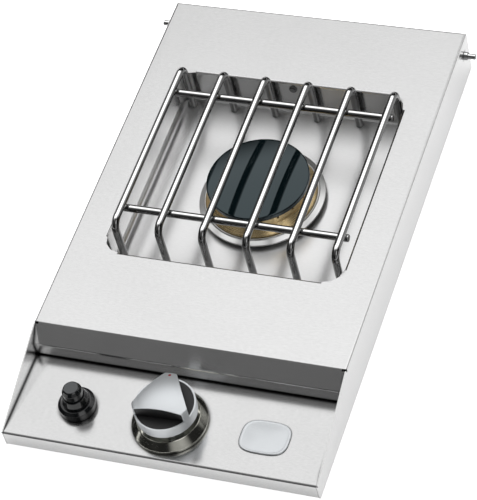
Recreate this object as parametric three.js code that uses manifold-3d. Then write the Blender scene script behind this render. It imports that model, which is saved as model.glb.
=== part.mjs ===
// A built in side burner for an outdoor kitchen: a folded stainless top that drops over a counter cut-out,
// with a sunken burner under a wire grate and a knob and igniter on a low control panel.
// Millimetres. X runs right, Y runs back from the front lip and Z runs up from the counter.
// The exported group moves that frame so its origin is under the centre of the burner box.
import * as THREE from "three";
import { mergeVertices } from "three/addons/utils/BufferGeometryUtils.js";
import Module from "manifold-3d";

const wasm = await Module();
wasm.setup();

// Fits and cuts shared by every piece
const seat = 0.3; // gap left between two pieces that touch
const running = 0.5; // gap round a piece that lifts out or moves
const overrun = 2; // how far a cutting tool runs past the face it cuts
const weldMerge = 0.001; // corners closer than this are one corner
const fullTurn = 360; // degrees

// The folded top: deck, riser, side skirts and the cheeks beside the control panel
const top = {
  width: 330,
  depth: 561,
  height: 53.5,
  sheet: 1.5,
  bend: 3,
  deckFront: 115,
  rampRun: 17,
  rampDrop: 16.5,
  hem: 13,
  notch: 2,
  notchDepth: 3,
  cheekCorner: 1.5,
};

// The control panel between the cheeks
const panel = { height: 20, sheet: 1.5, bend: 2.5, sideFlange: 13, controlLine: 44.5, igniterInset: 66.5 };

// The opening in the deck and its folded down edges
const opening = { width: 255.2, length: 250, backMargin: 98, corner: 18, flange: 32.5, bend: 2.5 };

// The burner pan hung under the opening
const pan = { sheet: 1.2, gap: 1, depth: 45, corner: 12, footBend: 4.5, rim: 11, screwDrop: 8.6 };

// The burner box below the counter
const box = {
  sheet: 1,
  depth: 150,
  sideInset: 6,
  frontInset: 3,
  backInset: 8,
  sideFlange: 15,
  endFlange: 12,
  bend: 4,
  fold: 11,
  screwDistance: 60,
};

// The rows of air slots in the sides of the box
const slots = { count: 9, width: 6, height: 42, pitch: 15, drop: 30 };

// The grate: wires bent down at both ends, welded over two cross rods
const grate = {
  wire: 8,
  wireCount: 6,
  sideInset: 9.3,
  frontInset: 23,
  backInset: 8,
  rise: 16.5,
  bend: 11,
  rodFrontInset: 28.5,
  rodBackInset: 30,
  rodOverhang: 5.7,
  rodChamfer: 0.8,
};

// The cup of the burner with its foot, collar and raised lip
const cup = {
  radius: 49.6,
  wall: 3.2,
  margin: 4.6,
  chamfer: 5,
  footRadius: 57,
  foot: 2,
  neckRadius: 52,
  collarRadius: 67,
  collarRise: 9.7,
  collar: 1.6,
  lipRadius: 61,
  lip: 1.7,
  lipRise: 2,
  lipSlope: 0.5,
};

// The brass flame spreader that stands in the cup
const spreader = {
  rim: 3,
  wallRadius: 52,
  bore: 46,
  shoulderRise: 9.3,
  shoulderRound: 0.6,
  rise: 19.8,
  portCount: 18,
  portRadius: 1.25,
  portDrop: 2.6,
};

// The enamelled cap on the spreader
const cap = { radius: 54.2, edge: 6.4, round: 2.4, crown: 2.6, skirt: 3.4, skirtWall: 3 };
const crownShares = [
  { radius: 0.74, rise: 0.52 },
  { radius: 0.4, rise: 0.87 },
];
const roundShare = 0.3;

// The ring and screws that hold the cup to the pan from below
const clamp = { width: 8.5, thickness: 1.5, screwCount: 3, screwCircle: 54.6 };
const clampScrew = { radius: 1.5, head: 2.8, headHeight: 1.8, dome: 0.5, length: 7 };

// The spark electrode behind the burner
const electrode = {
  angle: 120,
  outset: 1,
  radius: 2.5,
  rise: 18.5,
  tail: 22,
  flangeRadius: 3.9,
  flange: 2,
  pinRadius: 1.1,
  pinRise: 27,
  pinReach: 5,
  pinBend: 3,
  pinTail: 5,
};

// The valve body on the gas line, with its bonnet
const valve = {
  line: -12,
  width: 34,
  depth: 30,
  height: 28,
  round: 4,
  bossRadius: 9,
  bossReach: 6,
  bonnetSide: 34,
  bonnet: 3,
  bonnetRound: 6,
  screwSpread: 12.4,
  screwHole: 7,
};
const bonnetScrew = { radius: 1.5, head: 2.8, headHeight: 2, dome: 0.6, length: 10 };

// The gas jet screwed into the valve
const jet = { flat: 6.5, hexLength: 6, radius: 4, length: 16, nose: 2.5, noseLength: 2, bore: 0.8 };

// The mixing tube from the jet to the cup
const mixer = {
  wall: 1.3,
  mouthGap: 2,
  mouthRadius: 16,
  mouthLength: 22,
  throatRadius: 9.5,
  throatStart: 33,
  throatEnd: 112,
  outletRadius: 12.5,
  outletRun: 40,
  windowCount: 3,
  windowAngle: 50,
  windowTop: 90,
  windowInset: 10,
  windowLength: 9,
};

// The turning sleeve that sets the air, and its screw
const shutter = { wall: 1, inset: 2, length: 19, slotInset: 4.5, turn: 40 };
const shutterScrew = { radius: 1.4, head: 2.8, headHeight: 1.6, dome: 0.5, length: 4 };

// The gas supply tube with its nut, bulkhead fitting and clip
const supply = { radius: 6.35, bore: 5.2, sideInset: 29, bend: 26, nutFlat: 10.5, nutLength: 14 };
const fitting = {
  radius: 9.5,
  inside: 16,
  outside: 17,
  socket: 11,
  bore: 4.8,
  flangeFlat: 11.5,
  flange: 3,
  locknutFlat: 11.5,
  locknut: 6,
};
const clip = { wall: 1.2, width: 12, distance: 240, foot: 13 };

// The bracket that hangs the valve under the control panel
const bracket = { sheet: 1.5, bend: 2.5, web: 40, ear: 12, length: 34 };

// The valve stem with its washer and spring
const stem = { radius: 4, flat: 1.1, tail: 14, shoulderRadius: 5.6, shoulder: 2, push: 3 };
const washer = { radius: 8.2, thickness: 1.5 };
const spring = { radius: 6.4, wire: 1.2, turns: 4, sides: 5, stepsPerTurn: 11 };

// The knob with its domed top, cut back to three flat facets
const knob = {
  radius: 31,
  topRadius: 30.4,
  lift: 18,
  ledgeRise: 30.5,
  rise: 47.4,
  crown: 6.8,
  edge: 2.2,
  roofEdge: 0.8,
  heading: 92,
  wall: 2.6,
  roof: 2.5,
  hubRadius: 8.4,
  hubDrop: 8,
  socket: 16,
  rim: 1.4,
  inlay: 0.7,
};
const knobFacets = [
  { turn: 60, distance: 19.8 },
  { turn: 180, distance: 16.5 },
  { turn: 300, distance: 19.8 },
];
const domeShares = [0.7, 0.35];

// The dial ring round the knob
const bezel = {
  radius: 38.2,
  band: 3.7,
  shoulderRadius: 36.8,
  shoulderRise: 1.8,
  crownRadius: 32.3,
  crownDrop: 0.4,
  rise: 11.6,
  innerRadius: 31.2,
  floor: 1.5,
  hole: 12,
};

// The push button igniter, from its button down to its spark module
const igniter = {
  nutRadius: 18.7,
  nut: 10.7,
  nutChamfer: 3,
  barrelRadius: 10.7,
  barrelBore: 9.2,
  barrelTail: 10,
  collarRadius: 13.6,
  collarEdge: 3,
  collarTopRadius: 11.6,
  collar: 8.7,
  ledge: 1,
  buttonRadius: 10.1,
  buttonEdge: 28,
  buttonTopRadius: 7.3,
  buttonRise: 32.3,
  buttonRound: 1,
  plunger: 16,
  press: 3.5,
  moduleRadius: 13,
  moduleLength: 76,
};

// The lead from the spark module to the electrode
const lead = { radius: 1.7, bend: 14, drop: 30, hang: 40, sides: 8 };

// The pins that a lid hooks over, with their bushes
const pin = { radius: 3, reach: 13, inset: 17, height: 36, head: 5, headLength: 3, chamfer: 0.6 };
const bush = { radius: 4.4, length: 4 };

// The screws through the opening's edges and through the flanges of the box
const panScrew = { radius: 2, head: 4, headHeight: 2.2, dome: 0.7, length: 8 };
const boxScrew = { radius: 2, head: 3.8, headHeight: 1.8, dome: 0.6, length: 3 };

// How finely round shapes are cut into facets
const facets = { large: 32, medium: 20, small: 12, wire: 10, tiny: 8, arc: 3, bend: 4 };

// Places worked out from the sizes above
const halfWidth = top.width / 2;
const rampFoot = top.deckFront - top.rampRun;
const rampTop = top.height - top.rampDrop;
const riserFoot = panel.height + seat;
const riserHem = rampFoot + top.hem;
const hemInner = halfWidth - top.hem;
const skirtInner = halfWidth - top.sheet;
const igniterOffset = halfWidth - panel.igniterInset;
const panelHalf = skirtInner - seat;
const panelUnder = panel.height - panel.sheet;
const openingHalf = opening.width / 2;
const openingBack = top.depth - opening.backMargin;
const openingFront = openingBack - opening.length;
const burnerLine = (openingFront + openingBack) / 2;
const panHalf = openingHalf + top.sheet + pan.gap;
const panHalfLength = opening.length / 2 + top.sheet + pan.gap;
const panTop = top.height - top.sheet - seat;
const panFloor = top.height - pan.depth;
const panUnder = panFloor - pan.sheet;
const panScrewHeight = top.height - pan.screwDrop;
const boxHalf = hemInner - box.sideInset;
const boxFront = top.hem + box.frontInset;
const boxBack = top.depth - top.hem - box.backInset;
const boxTop = top.sheet + seat + box.sheet;
const supplyLine = boxHalf - supply.sideInset;
const footTop = panFloor + seat + cup.foot;
const collarTop = panFloor + cup.collarRise;
const spreaderTop = collarTop + spreader.rise;
const spreaderRadius = cup.lipRadius - cup.lip - running;
const capBottom = spreaderTop + seat;
const cupBore = cup.radius - cup.wall;
const cupBottom = valve.line - mixer.outletRadius - seat - cup.margin;
const sparkCircle = cup.lipRadius + electrode.outset;
const sparkAngle = THREE.MathUtils.degToRad(electrode.angle);
const sparkX = Math.cos(sparkAngle) * sparkCircle;
const sparkY = burnerLine + Math.sin(sparkAngle) * sparkCircle;
const ceramicBottom = panFloor - electrode.tail;
const ceramicTop = panFloor + electrode.rise;
const valveTop = valve.line + valve.height / 2;
const bonnetTop = valveTop + seat + valve.bonnet;
const webTop = bonnetTop + seat + bracket.sheet;
const springHole = spring.radius + spring.wire + seat;
const washerBottom = panel.height + stem.push + seat;
const washerTop = washerBottom + washer.thickness;
const stemBottom = valveTop - stem.tail;
const knobBottom = panel.height + knob.lift;
const knobLedge = panel.height + knob.ledgeRise;
const knobTop = panel.height + knob.rise;
const stemTop = knobBottom + knob.socket;
const jetStart = panel.controlLine + valve.depth / 2 + valve.bossReach + seat;
const mouthStart = jetStart + jet.hexLength + mixer.mouthGap;
const mixerLength = burnerLine - cupBore - mouthStart;
const sleeveInner = mixer.mouthRadius + seat;
const sleeveOuter = sleeveInner + shutter.wall;
const barrelBottom = panelUnder - seat - igniter.barrelTail;
const collarSeat = panel.height + seat + igniter.nut + seat;
const barrelTop = collarSeat + igniter.collar;
const buttonSkirt = collarSeat + igniter.ledge + igniter.press + seat;
const moduleTop = panelUnder - seat;
const moduleBottom = moduleTop - igniter.moduleLength;

// A flat outline with round corners, from entries of [x, y] or [x, y, radius]
function rounded(points, steps = facets.arc) {
  const path = [];
  points.forEach(([x, y, radius = 0], index) => {
    const here = new THREE.Vector2(x, y);
    if (radius <= 0) {
      path.push(here);
      return;
    }
    const before = points[(index + points.length - 1) % points.length];
    const after = points[(index + 1) % points.length];
    const toBefore = new THREE.Vector2(before[0] - x, before[1] - y).normalize();
    const toAfter = new THREE.Vector2(after[0] - x, after[1] - y).normalize();
    const half = toBefore.angleTo(toAfter) / 2;
    const bisector = toBefore.clone().add(toAfter).normalize();
    const centre = here.clone().addScaledVector(bisector, radius / Math.sin(half));
    const from = here.clone().addScaledVector(toBefore, radius / Math.tan(half)).sub(centre);
    const to = here.clone().addScaledVector(toAfter, radius / Math.tan(half)).sub(centre);
    const sweep = Math.atan2(from.cross(to), from.dot(to));
    for (let step = 0; step <= steps; step += 1) {
      const arm = from.clone().rotateAround(new THREE.Vector2(), (sweep * step) / steps);
      path.push(arm.add(centre));
    }
  });
  return new THREE.Shape(path);
}

// A rectangle from its two corners, with one radius for all four corners
function rectangle(x0, y0, x1, y1, radius = 0) {
  return [
    [x0, y0, radius],
    [x1, y0, radius],
    [x1, y1, radius],
    [x0, y1, radius],
  ];
}

// Two numbers in rising order, for spans that are mirrored
function span(a, b) {
  return [Math.min(a, b), Math.max(a, b)];
}

// Prisms of an outline along each axis. The outline is in (x, y), (x, z) or (y, z), in that order.
function prismZ(outline, from, to, steps) {
  const settings = { depth: to - from, bevelEnabled: false };
  return new THREE.ExtrudeGeometry(rounded(outline, steps), settings).translate(0, 0, from);
}

function prismY(outline, from, to, steps) {
  return prismZ(outline, -to, -from, steps).rotateX(Math.PI / 2);
}

function prismX(outline, from, to, steps) {
  const turn = new THREE.Matrix4().makeBasis(
    new THREE.Vector3(0, 1, 0),
    new THREE.Vector3(0, 0, 1),
    new THREE.Vector3(1, 0, 0),
  );
  return prismZ(outline, from, to, steps).applyMatrix4(turn);
}

// A body turned about Z from an (r, z) profile that ends on the axis or closes on itself
function turned(profile, segments) {
  const points = profile.map(([r, z]) => new THREE.Vector2(r, z));
  if (points[0].x > 0) points.push(points[0].clone());
  return new THREE.LatheGeometry(points, segments).rotateX(Math.PI / 2);
}

// Round bars along an axis, centred on the two other coordinates
function barZ(radius, x, y, z0, z1, segments = facets.small) {
  const bar = new THREE.CylinderGeometry(radius, radius, z1 - z0, segments).rotateX(Math.PI / 2);
  return bar.translate(x, y, (z0 + z1) / 2);
}

function barY(radius, x, z, y0, y1, segments = facets.small) {
  const bar = new THREE.CylinderGeometry(radius, radius, y1 - y0, segments);
  return bar.translate(x, (y0 + y1) / 2, z);
}

function barX(radius, y, z, x0, x1, segments = facets.small) {
  const bar = new THREE.CylinderGeometry(radius, radius, x1 - x0, segments).rotateZ(Math.PI / 2);
  return bar.translate((x0 + x1) / 2, y, z);
}

// The corner radius of a hexagon from the distance of its flats
function hexRadius(flat) {
  return flat / Math.cos(Math.PI / 6);
}

// A closed solid of a three.js geometry, facing out
function solidOf(geometry) {
  const bare = new THREE.BufferGeometry();
  bare.setAttribute("position", geometry.getAttribute("position").clone());
  if (geometry.index) bare.setIndex(geometry.index.clone());
  const merged = mergeVertices(bare, weldMerge);
  const position = merged.getAttribute("position");
  const triangles = [];
  for (let i = 0; i < merged.index.count; i += 3) {
    const corners = [0, 1, 2].map((offset) => merged.index.getX(i + offset));
    if (new Set(corners).size === corners.length) triangles.push(corners);
  }
  if (signedVolume(position, triangles) < 0) triangles.forEach((corners) => corners.reverse());
  return new wasm.Manifold(
    new wasm.Mesh({
      numProp: 3,
      vertProperties: new Float32Array(position.array),
      triVerts: new Uint32Array(triangles.flat()),
    }),
  );
}

// Six times the volume inside the triangles, negative where they face in
function signedVolume(position, triangles) {
  const [a, b, c] = [new THREE.Vector3(), new THREE.Vector3(), new THREE.Vector3()];
  return triangles.reduce((sum, [i, j, k]) => {
    a.fromBufferAttribute(position, i);
    b.fromBufferAttribute(position, j);
    c.fromBufferAttribute(position, k);
    return sum + a.dot(b.cross(c));
  }, 0);
}

function asSolid(body) {
  return body.isBufferGeometry ? solidOf(body) : body;
}

function join(...bodies) {
  return bodies.map(asSolid).reduce((whole, next) => whole.add(next));
}

function cut(body, ...tools) {
  return tools.map(asSolid).reduce((rest, tool) => rest.subtract(tool), asSolid(body));
}

function common(...bodies) {
  return bodies.map(asSolid).reduce((shared, next) => shared.intersect(next));
}

function block(x0, x1, y0, y1, z0, z1) {
  return solidOf(prismZ(rectangle(x0, y0, x1, y1), z0, z1));
}

// A route of straight runs and round bends, with a ring only where the bar needs one
class BentRoute extends THREE.Curve {
  constructor(corners, radius, steps) {
    super();
    this.rings = [];
    this.headings = [];
    const last = corners.length - 1;
    corners.forEach((corner, index) => {
      if (index === 0) {
        this.add(corner, corners[1].clone().sub(corner));
      } else if (index === last) {
        this.add(corner, corner.clone().sub(corners[last - 1]));
      } else {
        this.addBend(corners[index - 1], corner, corners[index + 1], radius, steps);
      }
    });
  }

  add(point, way) {
    this.rings.push(point.clone());
    this.headings.push(way.clone().normalize());
  }

  addBend(before, corner, after, radius, steps) {
    const into = corner.clone().sub(before).normalize();
    const out = after.clone().sub(corner).normalize();
    const sweep = into.angleTo(out);
    const axis = into.clone().cross(out).normalize();
    const inward = axis.clone().cross(into);
    const start = corner.clone().addScaledVector(into, -radius * Math.tan(sweep / 2));
    const centre = start.clone().addScaledVector(inward, radius);
    for (let step = 0; step <= steps; step += 1) {
      const angle = (sweep * step) / steps;
      const arm = inward.clone().multiplyScalar(-radius).applyAxisAngle(axis, angle);
      this.add(arm.add(centre), into.clone().applyAxisAngle(axis, angle));
    }
  }

  at(share, list) {
    return list[Math.round(share * (list.length - 1))].clone();
  }

  getPointAt(share) {
    return this.at(share, this.rings);
  }

  getTangentAt(share) {
    return this.at(share, this.headings);
  }

  getSpacedPoints() {
    return this.rings.map((ring) => ring.clone());
  }
}

// A round bar or tube bent through the corners
function bentBar(corners, bendRadius, radius, { sides = facets.wire, steps = facets.bend, bore = 0 } = {}) {
  const route = new BentRoute(corners, bendRadius, steps);
  const ring = new THREE.Shape(circle(radius, sides));
  if (bore > 0) ring.holes.push(new THREE.Path(circle(bore, sides)));
  return solidOf(new THREE.ExtrudeGeometry(ring, { steps: route.rings.length - 1, extrudePath: route }));
}

function circle(radius, sides) {
  return Array.from({ length: sides }, (_, side) => {
    const angle = ((side + 1 / 2) / sides) * Math.PI * 2;
    return new THREE.Vector2(Math.cos(angle) * radius, Math.sin(angle) * radius);
  });
}

// An even helix about Z
class Helix extends THREE.Curve {
  constructor(radius, from, to, turns) {
    super();
    Object.assign(this, { radius, from, to, turns });
  }

  getPoint(share) {
    const angle = share * this.turns * Math.PI * 2;
    const height = THREE.MathUtils.lerp(this.from, this.to, share);
    return new THREE.Vector3(Math.cos(angle) * this.radius, Math.sin(angle) * this.radius, height);
  }
}

// A ring sector in the plane across Y, centred on the gas line
function sector(inner, outer, fromDegrees, toDegrees, steps = facets.arc) {
  const points = [];
  const put = (radius, share) => {
    const angle = THREE.MathUtils.degToRad(THREE.MathUtils.lerp(fromDegrees, toDegrees, share));
    points.push([Math.cos(angle) * radius, valve.line + Math.sin(angle) * radius]);
  };
  for (let step = 0; step <= steps; step += 1) put(outer, step / steps);
  for (let step = steps; step >= 0; step -= 1) put(inner, step / steps);
  return points;
}

// A screw along Z: the head lies below zero and the shank stands above it
function screw({ radius, head, headHeight, dome, length }, segments = facets.tiny) {
  const profile = [
    [0, -headHeight],
    [head - dome, -headHeight],
    [head, dome - headHeight],
    [head, 0],
    [radius, 0],
    [radius, length],
    [0, length],
  ];
  return turned(profile, segments);
}

// Colours and surfaces of the real materials
const finish = {
  brushed: { color: 0xc9cacb, metalness: 0.9, roughness: 0.38 },
  polished: { color: 0xd8d9da, metalness: 1, roughness: 0.12 },
  satin: { color: 0xc4c9ce, metalness: 0.85, roughness: 0.34 },
  galvanised: { color: 0xa9adb0, metalness: 0.8, roughness: 0.5 },
  chrome: { color: 0xd2d4d6, metalness: 1, roughness: 0.08 },
  brass: { color: 0xc29a52, metalness: 0.9, roughness: 0.3 },
  enamel: { color: 0x0d1012, metalness: 0, roughness: 0.08 },
  blackPlastic: { color: 0x101112, metalness: 0, roughness: 0.35 },
  ceramic: { color: 0xe9e6dc, metalness: 0, roughness: 0.4 },
  silicone: { color: 0x8c2b1f, metalness: 0, roughness: 0.6 },
};

const pieces = new THREE.Group();

function piece(name, body, look, place = [0, 0, 0]) {
  const { vertProperties, triVerts } = asSolid(body).getMesh();
  const geometry = new THREE.BufferGeometry();
  geometry.setAttribute("position", new THREE.BufferAttribute(new Float32Array(vertProperties), 3));
  geometry.setIndex(new THREE.BufferAttribute(new Uint32Array(triVerts), 1));
  const flat = geometry.toNonIndexed();
  flat.computeVertexNormals();
  const mesh = new THREE.Mesh(flat, new THREE.MeshStandardMaterial(look));
  mesh.name = name;
  mesh.position.set(...place);
  pieces.add(mesh);
}

// The side view of the riser and deck, inset by a distance from its outer face
function deckSection(inset, bottom, hemFace) {
  const bend = top.bend - inset;
  const slope = Math.atan2(top.rampDrop, top.rampRun);
  const lowMitre = inset * Math.tan((Math.PI / 2 - slope) / 2);
  const highMitre = inset * Math.tan(slope / 2);
  return [
    [rampFoot + inset, riserFoot + hemFace, bend],
    [rampFoot + inset, rampTop - lowMitre, bend],
    [top.deckFront + highMitre, top.height - inset, bend],
    [top.depth - inset, top.height - inset, bend],
    [top.depth - inset, bottom],
    [riserHem, bottom],
    [riserHem, riserFoot + hemFace],
  ];
}

// The front view of the deck and skirts, inset by a distance from its outer face
function skirtSection(inset, bottom) {
  const half = halfWidth - inset;
  const bend = top.bend - inset;
  return [
    [-half, bottom],
    [half, bottom],
    [half, top.height - inset, bend],
    [-half, top.height - inset, bend],
  ];
}

// A folded down edge of the opening, across one side, with the opening towards minus sense
function edgeSection(edge, sense) {
  const t = top.sheet;
  const reach = edge + sense * (opening.bend + t);
  return [
    [reach, top.height],
    [edge, top.height, opening.bend],
    [edge, top.height - opening.flange],
    [edge + sense * t, top.height - opening.flange],
    [edge + sense * t, top.height - t, opening.bend - t],
    [reach, top.height - t],
  ];
}

function boxScrewPlaces() {
  const x = (hemInner + boxHalf + box.sideFlange) / 2;
  const front = boxFront + box.screwDistance;
  const back = boxBack - box.screwDistance;
  return [
    [-x, front],
    [x, front],
    [-x, back],
    [x, back],
  ];
}

function makeTop() {
  const t = top.sheet;
  const outer = common(
    prismX(deckSection(0, 0, 0), -halfWidth, halfWidth),
    prismY(skirtSection(0, 0), rampFoot, top.depth),
  );
  const inner = common(
    prismX(deckSection(t, -overrun, t), -skirtInner, skirtInner),
    prismY(skirtSection(t, -overrun), rampFoot, top.depth),
  );
  let body = cut(outer, inner);

  // Cheeks beside the panel, and hems under the skirts
  const cheekBack = top.deckFront + top.bend;
  const cheek = [
    [0, 0, top.cheekCorner],
    [0, panel.height, top.cheekCorner],
    [top.deckFront, top.height],
    [cheekBack, top.height - top.bend],
    [cheekBack, 0],
  ];
  const hemFront = top.hem + t;
  const hemOuter = halfWidth - t / 2;
  const hemBack = top.depth - t / 2;
  for (const side of [-1, 1]) {
    const hem = span(side * hemInner, side * hemOuter);
    body = join(
      body,
      prismX(cheek, ...span(side * halfWidth, side * skirtInner)),
      block(...hem, hemFront, hemBack, 0, t),
    );
  }
  body = join(body, block(-hemOuter, hemOuter, top.depth - top.hem, hemBack, 0, t));

  // The opening: raw round corners, with the straight edges folded down
  const straightX = openingHalf - opening.corner;
  const straightY = opening.length / 2 - opening.corner;
  const above = top.height + overrun;
  const below = top.height - t - overrun;
  const wide = openingHalf + opening.bend;
  const long = opening.length / 2 + opening.bend;
  const hole = rectangle(-openingHalf, openingFront, openingHalf, openingBack, opening.corner);
  body = cut(
    body,
    prismZ(hole, below, above),
    block(-wide, wide, burnerLine - straightY, burnerLine + straightY, below, above),
    block(-straightX, straightX, burnerLine - long, burnerLine + long, below, above),
  );
  for (const sense of [-1, 1]) {
    const sideEdge = edgeSection(sense * openingHalf, sense);
    const endEdge = edgeSection(sense > 0 ? openingBack : openingFront, sense);
    body = join(
      body,
      prismY(sideEdge, burnerLine - straightY, burnerLine + straightY),
      prismX(endEdge, -straightX, straightX),
    );
  }

  // Holes for the pan screws, the pins and the box screws, and the notches where the riser bends
  const edgeHole = panScrew.radius + seat;
  body = cut(
    body,
    barY(edgeHole, 0, panScrewHeight, openingFront - t - pan.gap, openingFront + overrun),
    barY(edgeHole, 0, panScrewHeight, openingBack - overrun, openingBack + t + pan.gap),
    barX(pin.radius + seat, top.depth - pin.inset, pin.height, -halfWidth - overrun, halfWidth + overrun),
  );
  for (const [x, y] of boxScrewPlaces()) {
    body = cut(body, barZ(boxScrew.radius + seat, x, y, -overrun, t + overrun, facets.tiny));
  }
  const notchInner = halfWidth - top.bend - top.notch;
  for (const side of [-1, 1]) {
    const reach = span(side * notchInner, side * (halfWidth + overrun));
    const notchFront = top.deckFront - top.notch;
    body = cut(body, block(...reach, notchFront, top.deckFront, top.height - top.notchDepth, above));
  }
  piece("top_deck", body, finish.brushed);
}

function makeControlPanel() {
  const t = panel.sheet;
  const section = [
    [0, 0, panel.bend],
    [0, panel.height, panel.bend],
    [riserHem, panel.height],
    [riserHem, panelUnder],
    [t, panelUnder, panel.bend - t],
    [t, t, panel.bend - t],
    [top.hem, t],
    [top.hem, 0],
  ];
  let body = solidOf(prismX(section, -panelHalf, panelHalf));
  for (const side of [-1, 1]) {
    const faces = span(side * panelHalf, side * (panelHalf - t));
    const flangeBottom = panel.height - panel.sideFlange;
    body = join(body, block(...faces, panel.bend, riserHem, flangeBottom, panel.height - t / 2));
  }
  const below = panelUnder - overrun;
  const above = panel.height + overrun;
  const barrelHole = igniter.barrelRadius + seat;
  body = cut(
    body,
    barZ(springHole, 0, panel.controlLine, below, above),
    barZ(barrelHole, -igniterOffset, panel.controlLine, below, above, facets.medium),
  );
  piece("control_panel", body, finish.brushed);
}

// The outside or inside of the pan, inset from its outer face
function panSolid(inset, bottom, ceiling) {
  const halfX = panHalf + pan.sheet - inset;
  const halfY = panHalfLength + pan.sheet - inset;
  const bend = pan.footBend + pan.sheet - inset;
  const corner = pan.corner + pan.sheet - inset;
  const dish = (low, high) => [
    [low, bottom, bend],
    [high, bottom, bend],
    [high, ceiling],
    [low, ceiling],
  ];
  return common(
    prismZ(rectangle(-halfX, burnerLine - halfY, halfX, burnerLine + halfY, corner), bottom, ceiling),
    prismY(dish(-halfX, halfX), burnerLine - halfY, burnerLine + halfY),
    prismX(dish(burnerLine - halfY, burnerLine + halfY), -halfX, halfX),
  );
}

function clampScrewPlaces() {
  return Array.from({ length: clamp.screwCount }, (_, index) => {
    const angle = (index / clamp.screwCount) * Math.PI * 2;
    return [Math.cos(angle) * clamp.screwCircle, Math.sin(angle) * clamp.screwCircle];
  });
}

function makePan() {
  const rimX = panHalf + pan.sheet + pan.rim;
  const rimY = panHalfLength + pan.sheet + pan.rim;
  const rim = rectangle(-rimX, burnerLine - rimY, rimX, burnerLine + rimY, pan.corner + pan.rim);
  const below = panUnder - overrun;
  const above = panFloor + overrun;
  const screwReach = panHalfLength + pan.sheet + overrun;
  let body = cut(
    join(panSolid(0, panUnder, panTop), prismZ(rim, panTop - pan.sheet, panTop)),
    panSolid(pan.sheet, panFloor, panTop + overrun),
    barZ(cup.radius + seat, 0, burnerLine, below, above, facets.large),
    barZ(electrode.radius + seat, sparkX, sparkY, below, above),
    barY(panScrew.radius + seat, 0, panScrewHeight, burnerLine - screwReach, burnerLine + screwReach),
  );
  for (const [x, y] of clampScrewPlaces()) {
    body = cut(body, barZ(clampScrew.radius + seat, x, burnerLine + y, below, above, facets.tiny));
  }
  piece("burner_pan", body, finish.brushed);
}

function makePanScrews() {
  const back = [0, openingBack - seat, panScrewHeight];
  const front = [0, openingFront + seat, panScrewHeight];
  piece("pan_screw_back", screw(panScrew, facets.small).rotateX(-Math.PI / 2), finish.polished, back);
  piece("pan_screw_front", screw(panScrew, facets.small).rotateX(Math.PI / 2), finish.polished, front);
}

function makeBoxWrap() {
  const t = box.sheet;
  const bottom = -box.depth;
  const wrap = (inset, ceiling) => [
    [inset - boxHalf, bottom + inset, box.bend - inset],
    [boxHalf - inset, bottom + inset, box.bend - inset],
    [boxHalf - inset, ceiling],
    [inset - boxHalf, ceiling],
  ];
  const reach = boxHalf + box.sideFlange;
  const flanges = block(-reach, reach, boxFront, boxBack, boxTop - t, boxTop);
  let body = cut(
    join(prismY(wrap(0, boxTop), boxFront, boxBack), flanges),
    prismY(wrap(t, boxTop + overrun), boxFront - overrun, boxBack + overrun),
  );
  const firstSlot = (boxFront + boxBack) / 2 - ((slots.count - 1) * slots.pitch) / 2;
  const halfSlot = slots.width / 2;
  const slotTop = -slots.drop;
  for (let index = 0; index < slots.count; index += 1) {
    const y = firstSlot + index * slots.pitch;
    const slot = rectangle(y - halfSlot, slotTop - slots.height, y + halfSlot, slotTop, halfSlot - seat);
    body = cut(body, prismX(slot, -boxHalf - overrun, boxHalf + overrun, 1));
  }
  for (const [x, y] of boxScrewPlaces()) {
    const hole = barZ(boxScrew.radius + seat, x, y, boxTop - t - overrun, boxTop + overrun, facets.tiny);
    body = cut(body, hole);
  }
  piece("box_wrap", body, finish.galvanised);
}

function makeBoxEnd(name, face, inward) {
  const t = box.sheet;
  const half = boxHalf - t - seat;
  const low = -box.depth + t + seat;
  const plate = [
    [-half, low, box.bend],
    [half, low, box.bend],
    [half, boxTop - t / 2],
    [-half, boxTop - t / 2],
  ];
  const foldStart = low + box.bend + t;
  const foldHalf = half - box.bend - t;
  const foldSpan = span(face, face + inward * box.fold);
  let body = join(
    prismY(plate, ...span(face, face + inward * t)),
    block(-half, half, ...span(face - inward * box.endFlange, face + inward * t), boxTop - t, boxTop),
    block(-half, t - half, ...foldSpan, foldStart, boxTop - box.bend),
    block(half - t, half, ...foldSpan, foldStart, boxTop - box.bend),
    block(-foldHalf, foldHalf, ...foldSpan, low, low + t),
  );
  if (inward < 0) {
    const hole = barY(fitting.radius + seat, supplyLine, valve.line, face - t - overrun, face + overrun);
    body = cut(body, hole);
  }
  piece(name, body, finish.galvanised);
}

function makeBoxScrews() {
  boxScrewPlaces().forEach(([x, y], index) => {
    const body = screw(boxScrew).rotateX(Math.PI);
    piece("box_screw_" + (index + 1), body, finish.galvanised, [x, y, boxTop + seat]);
  });
}

function makeGrate() {
  const radius = grate.wire / 2;
  const crown = top.height + grate.rise;
  const foot = panFloor + seat;
  const front = openingFront + grate.frontInset;
  const back = openingBack - grate.backInset;
  const reach = openingHalf - grate.sideInset;
  for (let index = 0; index < grate.wireCount; index += 1) {
    const x = THREE.MathUtils.lerp(-reach, reach, index / (grate.wireCount - 1));
    const corners = [
      new THREE.Vector3(x, front, foot),
      new THREE.Vector3(x, front, crown),
      new THREE.Vector3(x, back, crown),
      new THREE.Vector3(x, back, foot),
    ];
    piece("grate_wire_" + (index + 1), bentBar(corners, grate.bend, radius), finish.polished);
  }
  const end = reach + grate.rodOverhang;
  const profile = [
    [0, -end],
    [radius - grate.rodChamfer, -end],
    [radius, grate.rodChamfer - end],
    [radius, end - grate.rodChamfer],
    [radius - grate.rodChamfer, end],
    [0, end],
  ];
  const rod = () => turned(profile, facets.small).rotateY(Math.PI / 2);
  const rodHeight = crown - grate.wire - seat;
  piece("grate_rod_front", rod(), finish.polished, [0, front + grate.rodFrontInset, rodHeight]);
  piece("grate_rod_back", rod(), finish.polished, [0, back - grate.rodBackInset, rodHeight]);
}

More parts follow.
